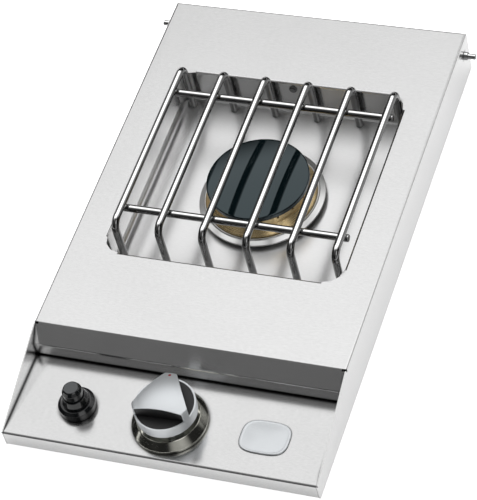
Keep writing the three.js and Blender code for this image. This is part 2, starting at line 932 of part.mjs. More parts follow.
function makeCup() {
  const profile = [
    [0, cupBottom],
    [cup.radius - cup.chamfer, cupBottom],
    [cup.radius, cupBottom + cup.chamfer],
    [cup.radius, panFloor + seat],
    [cup.footRadius, panFloor + seat],
    [cup.footRadius, footTop],
    [cup.neckRadius, footTop],
    [cup.neckRadius, collarTop - cup.collar],
    [cup.collarRadius, collarTop - cup.collar],
    [cup.collarRadius, collarTop],
    [cup.lipRadius, collarTop],
    [cup.lipRadius - cup.lipSlope, collarTop + cup.lipRise],
    [cup.lipRadius - cup.lip, collarTop + cup.lipRise],
    [cup.lipRadius - cup.lip, collarTop],
    [cupBore, collarTop],
    [cupBore, cupBottom + cup.wall + cup.chamfer],
    [cupBore - cup.chamfer, cupBottom + cup.wall],
    [0, cupBottom + cup.wall],
  ];
  const inlet = mixer.outletRadius + seat;
  const halfNotch = electrode.radius + running;
  const notchStart = sparkCircle - halfNotch;
  const notch = rectangle(notchStart, -halfNotch, cup.collarRadius + overrun, halfNotch);
  let body = cut(
    turned(profile, facets.large),
    barY(inlet, 0, valve.line, -cup.radius - overrun, cup.chamfer - cupBore, facets.medium),
    prismZ(notch, footTop + seat, collarTop + cup.lipRise + overrun).rotateZ(sparkAngle),
  );
  for (const [x, y] of clampScrewPlaces()) {
    body = cut(body, barZ(clampScrew.radius + seat, x, y, panFloor, footTop + running, facets.tiny));
  }
  piece("burner_cup", body, finish.polished, [0, burnerLine, 0]);
}

function makeSpreader() {
  const bottom = collarTop + seat;
  const shoulder = collarTop + spreader.shoulderRise;
  const profile = [
    [spreader.bore, bottom],
    [spreaderRadius, bottom],
    [spreaderRadius, bottom + spreader.rim],
    [spreader.wallRadius + spreader.shoulderRound, shoulder],
    [spreader.wallRadius, shoulder + spreader.shoulderRound],
    [spreader.wallRadius, spreaderTop],
    [spreader.bore, spreaderTop],
  ];
  let body = solidOf(turned(profile, facets.large));
  const reach = spreader.wallRadius + overrun;
  for (let index = 0; index < spreader.portCount / 2; index += 1) {
    const port = barX(spreader.portRadius, 0, spreaderTop - spreader.portDrop, -reach, reach, 6);
    body = cut(body, port.rotateZ(((index + 1 / 2) / spreader.portCount) * Math.PI * 2));
  }
  piece("flame_spreader", body, finish.brass, [0, burnerLine, 0]);
}

function makeCap() {
  const skirtOuter = spreader.bore - running;
  const skirtInnerRadius = skirtOuter - cap.skirtWall;
  const edgeTop = capBottom + cap.edge;
  const soft = cap.round * roundShare;
  const profile = [
    [0, capBottom],
    [skirtInnerRadius, capBottom],
    [skirtInnerRadius, capBottom - cap.skirt],
    [skirtOuter, capBottom - cap.skirt],
    [skirtOuter, capBottom],
    [cap.radius - cap.round, capBottom],
    [cap.radius, capBottom + cap.round],
    [cap.radius, edgeTop - cap.round],
    [cap.radius - soft, edgeTop - soft],
    [cap.radius - cap.round, edgeTop],
    ...crownShares.map((share) => [cap.radius * share.radius, edgeTop + cap.crown * share.rise]),
    [0, edgeTop + cap.crown],
  ];
  piece("burner_cap", turned(profile, facets.large), finish.enamel, [0, burnerLine, 0]);
}

function makeClamp() {
  const ringTop = panUnder - seat;
  const ringBottom = ringTop - clamp.thickness;
  const inner = cup.radius + seat;
  const profile = [
    [inner, ringBottom],
    [inner + clamp.width, ringBottom],
    [inner + clamp.width, ringTop],
    [inner, ringTop],
  ];
  let ring = solidOf(turned(profile, facets.large));
  clampScrewPlaces().forEach(([x, y], index) => {
    const hole = clampScrew.radius + seat;
    ring = cut(ring, barZ(hole, x, y, ringBottom - overrun, ringTop + overrun, facets.tiny));
    const place = [x, burnerLine + y, ringBottom - seat];
    piece("clamp_screw_" + (index + 1), screw(clampScrew), finish.galvanised, place);
  });
  piece("burner_clamp_ring", ring, finish.galvanised, [0, burnerLine, 0]);
}

function makeElectrode() {
  const socket = electrode.pinRadius + seat;
  const socketFloor = ceramicTop - electrode.pinTail - seat;
  const flangeBottom = panFloor + seat;
  const profile = [
    [0, ceramicBottom],
    [electrode.radius, ceramicBottom],
    [electrode.radius, flangeBottom],
    [electrode.flangeRadius, flangeBottom],
    [electrode.flangeRadius, flangeBottom + electrode.flange],
    [electrode.radius, flangeBottom + electrode.flange],
    [electrode.radius, ceramicTop],
    [socket, ceramicTop],
    [socket, socketFloor],
    [0, socketFloor],
  ];
  piece("electrode_ceramic", turned(profile, facets.small), finish.ceramic, [sparkX, sparkY, 0]);
  const tip = panFloor + electrode.pinRise;
  const inX = -Math.cos(sparkAngle) * electrode.pinReach;
  const inY = -Math.sin(sparkAngle) * electrode.pinReach;
  const corners = [
    new THREE.Vector3(0, 0, ceramicTop - electrode.pinTail),
    new THREE.Vector3(0, 0, tip),
    new THREE.Vector3(inX, inY, tip),
  ];
  const body = bentBar(corners, electrode.pinBend, electrode.pinRadius, { sides: facets.tiny });
  piece("electrode_pin", body, finish.polished, [sparkX, sparkY, 0]);
}

function makeValve() {
  const halfX = valve.width / 2;
  const halfY = valve.depth / 2;
  const bossX = halfX + valve.bossReach;
  const bossY = halfY + valve.bossReach;
  let body = cut(
    join(
      prismZ(rectangle(-halfX, -halfY, halfX, halfY, valve.round), valveTop - valve.height, valveTop),
      barX(valve.bossRadius, 0, valve.line, 0, bossX),
      barY(valve.bossRadius, 0, valve.line, 0, bossY),
    ),
    barZ(stem.radius + seat, 0, 0, stemBottom - stem.push - seat, valveTop + overrun),
  );
  const halfBonnet = valve.bonnetSide / 2;
  const bonnetOutline = rectangle(-halfBonnet, -halfBonnet, halfBonnet, halfBonnet, valve.bonnetRound);
  let bonnet = cut(
    prismZ(bonnetOutline, valveTop + seat, bonnetTop),
    barZ(stem.radius + seat, 0, 0, valveTop - overrun, bonnetTop + overrun),
  );
  const screwHole = bonnetScrew.radius + seat;
  for (const side of [-1, 1]) {
    const x = side * valve.screwSpread;
    body = cut(body, barZ(screwHole, x, 0, valveTop - valve.screwHole, valveTop + overrun, facets.tiny));
    bonnet = cut(bonnet, barZ(screwHole, x, 0, valveTop - overrun, bonnetTop + overrun, facets.tiny));
    const place = [x, panel.controlLine, webTop + seat];
    const name = side < 0 ? "bonnet_screw_left" : "bonnet_screw_right";
    piece(name, screw(bonnetScrew).rotateX(Math.PI), finish.galvanised, place);
  }
  piece("valve_body", body, finish.brass, [0, panel.controlLine, 0]);
  piece("valve_bonnet", bonnet, finish.galvanised, [0, panel.controlLine, 0]);
}

function makeBracket() {
  const t = bracket.sheet;
  const half = bracket.web / 2;
  const earTop = panelUnder - seat;
  const webBottom = webTop - t;
  const section = [
    [-half - bracket.ear, earTop - t],
    [-half, earTop - t, bracket.bend - t],
    [-half, webBottom, bracket.bend],
    [half, webBottom, bracket.bend],
    [half, earTop - t, bracket.bend - t],
    [half + bracket.ear, earTop - t],
    [half + bracket.ear, earTop],
    [half - t, earTop, bracket.bend],
    [half - t, webTop, bracket.bend - t],
    [t - half, webTop, bracket.bend - t],
    [t - half, earTop, bracket.bend],
    [-half - bracket.ear, earTop],
  ];
  let body = cut(
    prismY(section, -bracket.length / 2, bracket.length / 2),
    barZ(springHole, 0, 0, webBottom - overrun, webTop + overrun),
  );
  for (const side of [-1, 1]) {
    const x = side * valve.screwSpread;
    const hole = bonnetScrew.radius + seat;
    body = cut(body, barZ(hole, x, 0, webBottom - overrun, webTop + overrun, facets.tiny));
  }
  piece("valve_bracket", body, finish.galvanised, [0, panel.controlLine, 0]);
}

// The bar of the stem with its flat, grown by a clearance
function stemBar(clearance, from, to) {
  const radius = stem.radius + clearance;
  const flat = stem.radius - stem.flat + clearance;
  return cut(
    barZ(radius, 0, 0, from, to),
    block(flat, radius + overrun, -radius - overrun, radius + overrun, from - overrun, to + overrun),
  );
}

function makeStem() {
  const shoulderBottom = washerTop + seat;
  const shoulderTop = shoulderBottom + stem.shoulder;
  const shaft = [
    [0, stemBottom],
    [stem.radius, stemBottom],
    [stem.radius, shoulderBottom],
    [stem.shoulderRadius, shoulderBottom],
    [stem.shoulderRadius, shoulderTop],
    [0, shoulderTop],
  ];
  const place = [0, panel.controlLine, 0];
  const body = join(turned(shaft, facets.small), stemBar(0, shoulderTop - stem.shoulder / 2, stemTop));
  piece("valve_stem", body, finish.brass, place);

  const hole = stem.radius + seat;
  const disc = [
    [hole, washerBottom],
    [washer.radius, washerBottom],
    [washer.radius, washerTop],
    [hole, washerTop],
  ];
  piece("stem_washer", turned(disc, facets.small), finish.galvanised, place);

  const half = spring.wire / 2;
  const coil = new Helix(spring.radius, bonnetTop + seat + half, washerBottom - seat - half, spring.turns);
  const ring = new THREE.Shape(circle(half, spring.sides));
  const steps = spring.turns * spring.stepsPerTurn;
  const wire = new THREE.ExtrudeGeometry(ring, { steps, extrudePath: coil });
  piece("stem_spring", wire, finish.galvanised, place);
}

// The turn from the pointer to each facet of the knob
// The height of the knob's domed top at a distance from its axis
function domeHeight(radius) {
  return knobTop - knob.crown * (radius / knob.topRadius) ** 2;
}

// A round solid under the knob's dome, lowered by a drop
function underDome(radius, bottom, drop) {
  const profile = [
    [0, bottom],
    [radius, bottom],
    [radius, domeHeight(radius) - drop],
    ...domeShares.map((share) => [radius * share, domeHeight(radius * share) - drop]),
    [0, knobTop - drop],
  ];
  return turned(profile, facets.large);
}

function makeKnob() {
  const place = [0, panel.controlLine, 0];
  const ledgeFloor = knobLedge - knob.inlay - seat;
  const hollow = knob.radius - knob.wall;
  const hollowTop = ledgeFloor - knob.roof;
  const hubBottom = knobBottom - knob.hubDrop;
  const shoulder = knob.topRadius - knob.edge;
  const profile = [
    [0, hubBottom],
    [knob.hubRadius, hubBottom],
    [knob.hubRadius, hollowTop],
    [hollow, hollowTop],
    [hollow, knobBottom],
    [knob.radius, knobBottom],
    [knob.radius, knobLedge],
    [knob.topRadius, domeHeight(knob.topRadius) - knob.edge],
    [shoulder, domeHeight(shoulder)],
    ...domeShares.map((share) => [shoulder * share, domeHeight(shoulder * share)]),
    [0, knobTop],
  ];
  let body = cut(turned(profile, facets.large), stemBar(seat, hubBottom - overrun, stemTop + seat));

  const outside = knob.radius + overrun;
  const pocketRadius = knob.radius - knob.rim;
  knobFacets.forEach((facet, index) => {
    const turn = THREE.MathUtils.degToRad(knob.heading + facet.turn);
    const wallFace = facet.distance - knob.inlay;
    const step = rectangle(facet.distance, knobLedge, outside, knobTop + overrun);
    const recess = rectangle(wallFace - seat, ledgeFloor - overrun, outside, knobTop);
    const inlaySection = [
      [wallFace, ledgeFloor + seat],
      [outside, ledgeFloor + seat],
      [outside, knobLedge],
      [facet.distance, knobLedge],
      [facet.distance, knobTop],
      [wallFace, knobTop],
    ];
    const recessRound = underDome(pocketRadius, ledgeFloor, knob.roofEdge);
    const inlayRound = underDome(pocketRadius - seat, ledgeFloor, knob.roofEdge + seat);
    body = cut(
      body,
      prismY(step, -outside, outside).rotateZ(turn),
      common(prismY(recess, -outside, outside).rotateZ(turn), recessRound),
    );
    const inlay = common(prismY(inlaySection, -outside, outside).rotateZ(turn), inlayRound);
    piece("knob_inlay_" + (index + 1), inlay, finish.blackPlastic, place);
  });
  piece("knob_cap", body, finish.satin, place);
}

function makeBezel() {
  const base = panel.height + seat;
  const bandTop = base + bezel.band;
  const crown = base + bezel.rise;
  const profile = [
    [bezel.hole, base],
    [bezel.radius, base],
    [bezel.radius, bandTop],
    [bezel.shoulderRadius, bandTop + bezel.shoulderRise],
    [bezel.crownRadius, crown - bezel.crownDrop],
    [bezel.crownRadius - bezel.crownDrop, crown],
    [bezel.innerRadius, crown - bezel.crownDrop],
    [bezel.innerRadius, base + bezel.floor],
    [bezel.hole, base + bezel.floor],
  ];
  piece("knob_bezel", turned(profile, facets.large), finish.chrome, [0, panel.controlLine, 0]);
}

function makeIgniter() {
  const place = [-igniterOffset, panel.controlLine, 0];
  const base = panel.height + seat;
  const nutTop = base + igniter.nut;
  const nutBore = igniter.barrelRadius + seat;
  const nut = [
    [nutBore, base],
    [igniter.nutRadius, base],
    [igniter.nutRadius, nutTop - igniter.nutChamfer],
    [igniter.nutRadius - igniter.nutChamfer, nutTop],
    [nutBore, nutTop],
  ];
  const boreTop = collarSeat + igniter.ledge;
  const counterbore = igniter.buttonRadius + seat;
  const barrel = [
    [igniter.barrelBore, barrelBottom],
    [igniter.barrelRadius, barrelBottom],
    [igniter.barrelRadius, collarSeat],
    [igniter.collarRadius, collarSeat],
    [igniter.collarRadius, collarSeat + igniter.collarEdge],
    [igniter.collarTopRadius, barrelTop],
    [counterbore, barrelTop],
    [counterbore, boreTop],
    [igniter.barrelBore, boreTop],
  ];
  const plunger = igniter.barrelBore - seat;
  const plungerBottom = buttonSkirt - igniter.plunger;
  const edge = panel.height + igniter.buttonEdge;
  const crown = panel.height + igniter.buttonRise;
  const button = [
    [0, plungerBottom],
    [plunger, plungerBottom],
    [plunger, buttonSkirt],
    [igniter.buttonRadius, buttonSkirt],
    [igniter.buttonRadius, edge],
    [igniter.buttonTopRadius + igniter.buttonRound, crown - igniter.buttonRound],
    [igniter.buttonTopRadius, crown],
    [0, crown],
  ];
  const socket = barrelBottom - seat;
  const module = [
    [0, moduleBottom],
    [igniter.moduleRadius, moduleBottom],
    [igniter.moduleRadius, moduleTop],
    [nutBore, moduleTop],
    [nutBore, socket],
    [0, socket],
  ];
  piece("igniter_nut", turned(nut, facets.medium), finish.blackPlastic, place);
  piece("igniter_barrel", turned(barrel, facets.medium), finish.blackPlastic, place);
  piece("igniter_button", turned(button, facets.medium), finish.blackPlastic, place);
  piece("spark_module", turned(module, facets.medium), finish.blackPlastic, place);
}

function makeLead() {
  const start = new THREE.Vector3(-igniterOffset, panel.controlLine, moduleBottom - seat);
  const end = new THREE.Vector3(sparkX, sparkY, ceramicBottom - seat);
  const corners = [
    start,
    start.clone().setZ(start.z - lead.drop),
    end.clone().setZ(end.z - lead.hang),
    end,
  ];
  piece("ignition_lead", bentBar(corners, lead.bend, lead.radius, { sides: lead.sides }), finish.silicone);
}

function makeJet() {
  const along = -Math.PI / 2;
  const nose = [
    [0, 0],
    [jet.radius, 0],
    [jet.radius, jet.length - jet.noseLength],
    [jet.nose, jet.length],
    [0, jet.length],
  ];
  const hex = barY(hexRadius(jet.flat), 0, 0, 0, jet.hexLength, 6);
  const bore = barY(jet.bore, 0, 0, -overrun, jet.length + overrun, facets.tiny);
  const body = cut(join(turned(nose, facets.small).rotateX(along), hex), bore);
  piece("gas_jet", body, finish.brass, [0, jetStart, valve.line]);
}

function makeMixer() {
  const wall = mixer.wall;
  const outline = (inset) => [
    [mixer.mouthRadius - inset, 0],
    [mixer.mouthRadius - inset, mixer.mouthLength],
    [mixer.throatRadius - inset, mixer.throatStart],
    [mixer.throatRadius - inset, mixer.throatEnd],
    [mixer.outletRadius - inset, mixerLength - mixer.outletRun],
    [mixer.outletRadius - inset, mixerLength],
  ];
  const profile = [...outline(0), ...outline(wall).reverse()];
  const shell = turned(profile, facets.medium).rotateX(-Math.PI / 2);
  let tube = solidOf(shell.translate(0, mouthStart, valve.line));

  const sleeveStart = mouthStart + shutter.inset;
  const ring = [
    [sleeveInner, sleeveStart],
    [sleeveOuter, sleeveStart],
    [sleeveOuter, sleeveStart + shutter.length],
    [sleeveInner, sleeveStart + shutter.length],
  ];
  let sleeve = solidOf(turned(ring, facets.medium).rotateX(-Math.PI / 2).translate(0, 0, valve.line));

  const windowStart = mouthStart + mixer.windowInset;
  const windowEnd = windowStart + mixer.windowLength;
  const throughInner = mixer.mouthRadius - wall - overrun;
  const throughOuter = sleeveOuter + overrun;
  for (let index = 0; index < mixer.windowCount; index += 1) {
    const middle = mixer.windowTop + (index + 1 / 2) * (fullTurn / mixer.windowCount);
    const half = mixer.windowAngle / 2;
    const window = sector(throughInner, throughOuter, middle - half, middle + half);
    tube = cut(tube, prismY(window, windowStart, windowEnd));
    sleeve = cut(sleeve, prismY(window, windowStart, windowEnd));
  }

  // The slot runs round from the screw at the top, so the sleeve can turn
  const slotMiddle = mouthStart + shutter.slotInset;
  const slotHalf = shutterScrew.radius + seat;
  const slack = THREE.MathUtils.radToDeg(slotHalf / sleeveInner);
  const slotStart = mixer.windowTop - slack;
  const slot = sector(throughInner, throughOuter, slotStart, slotStart + 2 * slack + shutter.turn);
  sleeve = cut(sleeve, prismY(slot, slotMiddle - slotHalf, slotMiddle + slotHalf));
  tube = cut(tube, barZ(slotHalf, 0, slotMiddle, valve.line, valve.line + throughOuter, facets.tiny));
  const screwPlace = [0, slotMiddle, valve.line + sleeveOuter + seat];
  piece("mixing_tube", tube, finish.galvanised);
  piece("air_shutter", sleeve, finish.galvanised);
  piece("shutter_screw", screw(shutterScrew).rotateX(Math.PI), finish.galvanised, screwPlace);
}

function makeSupply() {
  const tubeStart = valve.width / 2 + valve.bossReach + seat;
  const plateInside = boxBack - box.sheet;
  const fittingFront = plateInside - fitting.inside;
  const socketEnd = fittingFront + fitting.socket;
  const corners = [
    new THREE.Vector3(tubeStart, panel.controlLine, valve.line),
    new THREE.Vector3(supplyLine, panel.controlLine, valve.line),
    new THREE.Vector3(supplyLine, socketEnd - seat, valve.line),
  ];
  const tube = bentBar(corners, supply.bend, supply.radius, { bore: supply.bore, sides: facets.small });
  piece("gas_tube", tube, finish.brass);

  const bore = supply.radius + seat;
  const nutEnd = tubeStart + supply.nutLength;
  const nut = cut(
    barX(hexRadius(supply.nutFlat), 0, 0, tubeStart, nutEnd, 6),
    barX(bore, 0, 0, tubeStart - overrun, nutEnd + overrun),
  );
  piece("tube_nut", nut, finish.brass, [0, panel.controlLine, valve.line]);

  const flangeEnd = plateInside - seat;
  const fittingEnd = boxBack + fitting.outside;
  const fittingPlace = [supplyLine, 0, valve.line];
  const body = cut(
    join(
      barY(fitting.radius, 0, 0, fittingFront, fittingEnd),
      barY(hexRadius(fitting.flangeFlat), 0, 0, flangeEnd - fitting.flange, flangeEnd, 6),
    ),
    barY(bore, 0, 0, fittingFront - overrun, socketEnd),
    barY(fitting.bore, 0, 0, fittingFront - overrun, fittingEnd + overrun),
  );
  piece("inlet_fitting", body, finish.brass, fittingPlace);

  const nutFront = boxBack + seat;
  const locknut = cut(
    barY(hexRadius(fitting.locknutFlat), 0, 0, nutFront, nutFront + fitting.locknut, 6),
    barY(fitting.radius + seat, 0, 0, nutFront - overrun, nutFront + fitting.locknut + overrun),
  );
  piece("inlet_locknut", locknut, finish.brass, fittingPlace);

  const clipY = boxBack - clip.distance;
  const band = span(clipY - clip.width / 2, clipY + clip.width / 2);
  const footTopFace = panUnder - seat;
  const footBottom = footTopFace - clip.wall;
  const left = supplyLine - clip.wall / 2;
  const strap = cut(
    join(
      barY(bore + clip.wall, supplyLine, valve.line, ...band),
      block(left, left + clip.wall, ...band, valve.line, footTopFace),
      block(left - clip.foot, left + clip.wall, ...band, footBottom, footTopFace),
    ),
    barY(bore, supplyLine, valve.line, clipY - clip.width, clipY + clip.width),
  );
  piece("tube_clip", strap, finish.galvanised);
}

function makePins() {
  const start = skirtInner - seat - pin.headLength;
  const end = halfWidth + pin.reach;
  const shaft = [
    [0, start],
    [pin.head, start],
    [pin.head, start + pin.headLength],
    [pin.radius, start + pin.headLength],
    [pin.radius, end - pin.chamfer],
    [pin.radius - pin.chamfer, end],
    [0, end],
  ];
  const bushStart = halfWidth + seat;
  const ring = [
    [pin.radius + seat, bushStart],
    [bush.radius, bushStart],
    [bush.radius, bushStart + bush.length],
    [pin.radius + seat, bushStart + bush.length],
  ];
  const place = [0, top.depth - pin.inset, pin.height];
  for (const side of ["left", "right"]) {
    const quarter = (side === "left" ? -Math.PI : Math.PI) / 2;
    piece("hinge_pin_" + side, turned(shaft, facets.small).rotateY(quarter), finish.polished, place);
    piece("hinge_bush_" + side, turned(ring, facets.small).rotateY(quarter), finish.polished, place);
  }
}

makeTop();
makeControlPanel();
makePan();
makePanScrews();
makeBoxWrap();
makeBoxEnd("box_front", boxFront, 1);
makeBoxEnd("box_back", boxBack, -1);
makeBoxScrews();
makeGrate();
makeCap();
makeSpreader();
makeCup();
makeClamp();
makeElectrode();
makeLead();
makeValve();
makeBracket();
makeStem();
makeKnob();
makeBezel();
makeIgniter();
makeJet();
makeMixer();
makeSupply();
makePins();

const sideBurner = new THREE.Group();
pieces.position.set(0, -top.depth / 2, box.depth);
sideBurner.add(pieces);

export default sideBurner;
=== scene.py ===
"""Looks of a built in side burner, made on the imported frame: smooth pieces, finishes, studio and camera."""

import logging
import math
from dataclasses import dataclass, field
from enum import Enum
from functools import cache
from typing import Any, Sequence

import bmesh
import bpy
from mathutils import Matrix, Vector

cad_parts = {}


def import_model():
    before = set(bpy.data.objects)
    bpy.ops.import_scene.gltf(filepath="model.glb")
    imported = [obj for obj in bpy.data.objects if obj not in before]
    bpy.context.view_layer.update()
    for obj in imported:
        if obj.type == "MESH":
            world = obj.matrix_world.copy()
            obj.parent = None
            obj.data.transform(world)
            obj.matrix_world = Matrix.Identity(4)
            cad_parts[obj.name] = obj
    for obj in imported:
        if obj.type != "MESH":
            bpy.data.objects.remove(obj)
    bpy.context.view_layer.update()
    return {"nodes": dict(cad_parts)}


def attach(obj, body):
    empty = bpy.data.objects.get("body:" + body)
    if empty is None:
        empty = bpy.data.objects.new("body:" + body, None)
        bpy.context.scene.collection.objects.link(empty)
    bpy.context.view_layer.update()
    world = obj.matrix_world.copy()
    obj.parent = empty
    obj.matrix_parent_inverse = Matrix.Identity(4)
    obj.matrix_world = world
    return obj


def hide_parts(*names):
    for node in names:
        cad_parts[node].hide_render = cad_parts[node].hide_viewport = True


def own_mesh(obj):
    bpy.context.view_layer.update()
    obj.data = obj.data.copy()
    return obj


LOG = logging.getLogger("side_burner")
MM = 0.001
FRONT_LIP = -0.2805
COUNTER = 0.150
FULL_TURN = 2 * math.pi
MILLIMETRES = Matrix.Scale(MM, 4)
WHITE = (1.0, 1.0, 1.0, 1.0)
ROUND_LIMIT = 40.0
MERGED, FLAT = 2e-5, math.radians(1.5)
LONGEST_SHARE = 0.45
NUMBER, VECTOR, WHOLE, SHADE = "NodeSocketFloat", "NodeSocketVector", "NodeSocketInt", "NodeSocketColor"
GEOMETRY, MATERIAL = "NodeSocketGeometry", "NodeSocketMaterial"
Profile = Sequence[tuple[float, ...]]
Pair, Triple = tuple[float, float], tuple[float, float, float]
Socket, Tree, Piece = bpy.types.NodeSocket, bpy.types.NodeTree, bpy.types.Object
FRAME_NODES: dict[str, Piece] = {}


def at(x: float, y: float, z: float) -> Vector:
    """Turns a place measured from the front lip on the counter into the row frame.

    Args:
        x: Millimetres to the right of the middle.
        y: Millimetres back from the front lip.
        z: Millimetres above the counter.

    Returns:
        The place in metres.
    """
    return Vector((x * MM, FRONT_LIP + y * MM, COUNTER + z * MM))


class Grain(Enum):
    """How the fine lines of a finish run."""

    NONE = "none"
    ALONG_X = "along the width"
    ROUND_Z = "round an upright axis"


class Graph:
    """A node tree while it is built."""

    def __init__(self, tree: Tree) -> None:
        """Keeps the tree that nodes are added to."""
        self.tree = tree

    def add(self, kind: str, inputs: dict[Any, Any] | None = None, **settings: Any) -> bpy.types.Node:
        """Adds a node.

        Args:
            kind: Blender's type name of the node.
            inputs: Values or sockets for its inputs, by name or number.
            **settings: Values for its own properties.

        Returns:
            The new node.
        """
        node = self.tree.nodes.new(kind)
        for key, value in settings.items():
            setattr(node, key, value)
        for key, value in (inputs or {}).items():
            if isinstance(value, Socket):
                self.tree.links.new(value, node.inputs[key])
            else:
                node.inputs[key].default_value = value
        return node

    def math(self, operation: str, first: Any, second: Any = 0.0, third: Any = 0.0) -> Socket:
        """Returns the result of a math node on numbers or sockets."""
        inputs = {0: first, 1: second, 2: third}
        return self.add("ShaderNodeMath", inputs, operation=operation).outputs[0]

    def vector(self, operation: str, first: Any, second: Any) -> Socket:
        """Returns the vector result of a vector math node."""
        return self.add("ShaderNodeVectorMath", {0: first, 1: second}, operation=operation).outputs[0]

    def parts(self, vector: Any) -> Any:
        """Returns the three numbers of a vector."""
        return self.add("ShaderNodeSeparateXYZ", {0: vector}).outputs

    def joined(self, across: Any = 0.0, along: Any = 0.0, up: Any = 0.0) -> Socket:
        """Returns the vector of three numbers."""
        return self.add("ShaderNodeCombineXYZ", {0: across, 1: along, 2: up}).outputs[0]

    def blend(self, share: Any, first: Any, second: Any, blend_type: str = "MIX") -> Socket:
        """Returns a colour blended from two colours."""
        inputs = {0: share, 6: first, 7: second}
        return self.add("ShaderNodeMix", inputs, data_type="RGBA", blend_type=blend_type).outputs[2]

    def step(self, value: Any, start: float, end: float, low: Any, high: Any) -> Socket:
        """Returns a soft step from low to high, as a value goes from start to end."""
        inputs = {"Value": value, "From Min": start, "From Max": end, "To Min": low, "To Max": high}
        return self.add("ShaderNodeMapRange", inputs, interpolation_type="SMOOTHSTEP").outputs[0]

    def group(self, tree: Tree, inputs: dict[str, Any]) -> Socket:
        """Returns the first result of a shader group."""
        return self.add("ShaderNodeGroup", inputs, node_tree=tree).outputs[0]

    def link(self, source: Socket, target: Socket) -> None:
        """Joins two sockets."""
        self.tree.links.new(source, target)


def start_group(name: str, kind: str, inputs: dict[str, Any],
                outputs: dict[str, str]) -> tuple[Graph, Any, Any]:
    """Starts a node group with named inputs and outputs.

    Args:
        name: Name of the group.
        kind: Blender's type name of the tree.
        inputs: Socket type, or socket type and first value, by input name.
        outputs: Socket type by output name.

    Returns:
        The graph, its input node's outputs and its output node's inputs.
    """
    tree = bpy.data.node_groups.new(name, kind)
    for label, entry in inputs.items():
        socket_type, value = entry if isinstance(entry, tuple) else (entry, None)
        socket = tree.interface.new_socket(label, in_out="INPUT", socket_type=socket_type)
        if value is not None:
            socket.default_value = value
    for label, socket_type in outputs.items():
        tree.interface.new_socket(label, in_out="OUTPUT", socket_type=socket_type)
    graph = Graph(tree)
    return graph, graph.add("NodeGroupInput").outputs, graph.add("NodeGroupOutput").inputs


def start_material(name: str, constants: dict[str, Any]) -> tuple[bpy.types.Material, Graph, Any]:
    """Starts a material with constants on its shader.

    Args:
        name: Name of the material.
        constants: Value by input name of the shader.

    Returns:
        The material, its graph and its shader's inputs.
    """
    material = bpy.data.materials.new(name)
    material.use_nodes = True
    inputs = material.node_tree.nodes["Principled BSDF"].inputs
    for label, value in constants.items():
        inputs[label].default_value = value
    return material, Graph(material.node_tree), inputs


class ShaderGroups:
    """The effects that several finishes share, each built once."""

    @staticmethod
    @cache
    def lines() -> Tree:
        """Returns the group of long fine lines, as left by a brush or a lathe."""
        inputs = {"Vector": VECTOR, "Fineness": (NUMBER, 900.0), "Length": (NUMBER, 12.0)}
        graph, source, target = start_group("fine_lines", "ShaderNodeTree", inputs, {"Line": NUMBER})
        scale = graph.joined(source["Length"], source["Fineness"], source["Fineness"])
        place = graph.vector("MULTIPLY", source["Vector"], scale)
        noise = graph.add("ShaderNodeTexNoise", {"Vector": place, "Scale": 1.0, "Detail": 3.0})
        graph.link(noise.outputs[0], target["Line"])
        return graph.tree

    @staticmethod
    @cache
    def patches() -> Tree:
        """Returns the group of soft patches, as left by handling, heat or uneven coating."""
        inputs = {"Vector": VECTOR, "Size": (NUMBER, 20.0), "Contrast": (NUMBER, 1.0)}
        graph, source, target = start_group("soft_patches", "ShaderNodeTree", inputs, {"Patch": NUMBER})
        noise = graph.add("ShaderNodeTexNoise", {"Vector": source["Vector"], "Scale": source["Size"],
                                                 "Detail": 4.0, "Roughness": 0.55})
        centred = graph.math("SUBTRACT", noise.outputs[0], 0.5)
        graph.link(graph.math("MULTIPLY_ADD", centred, source["Contrast"], 0.5), target["Patch"])
        return graph.tree

    @staticmethod
    @cache
    def corners() -> Tree:
        """Returns the group that darkens a colour near a fold or a seam: painted shade where little open
        space lies around a point.
        """
        inputs = {"Color": SHADE, "Depth": (NUMBER, 0.8), "Width": (NUMBER, 0.006)}
        graph, source, target = start_group("corner_shade", "ShaderNodeTree", inputs, {"Color": SHADE})
        open_sky = graph.add("ShaderNodeAmbientOcclusion", {"Distance": source["Width"]}, samples=12)
        least = graph.math("SUBTRACT", 1.0, source["Depth"])
        kept = graph.step(open_sky.outputs["AO"], start=0.45, end=0.92, low=least, high=1.0)
        graph.link(graph.blend(1.0, source["Color"], kept, "MULTIPLY"), target["Color"])
        return graph.tree


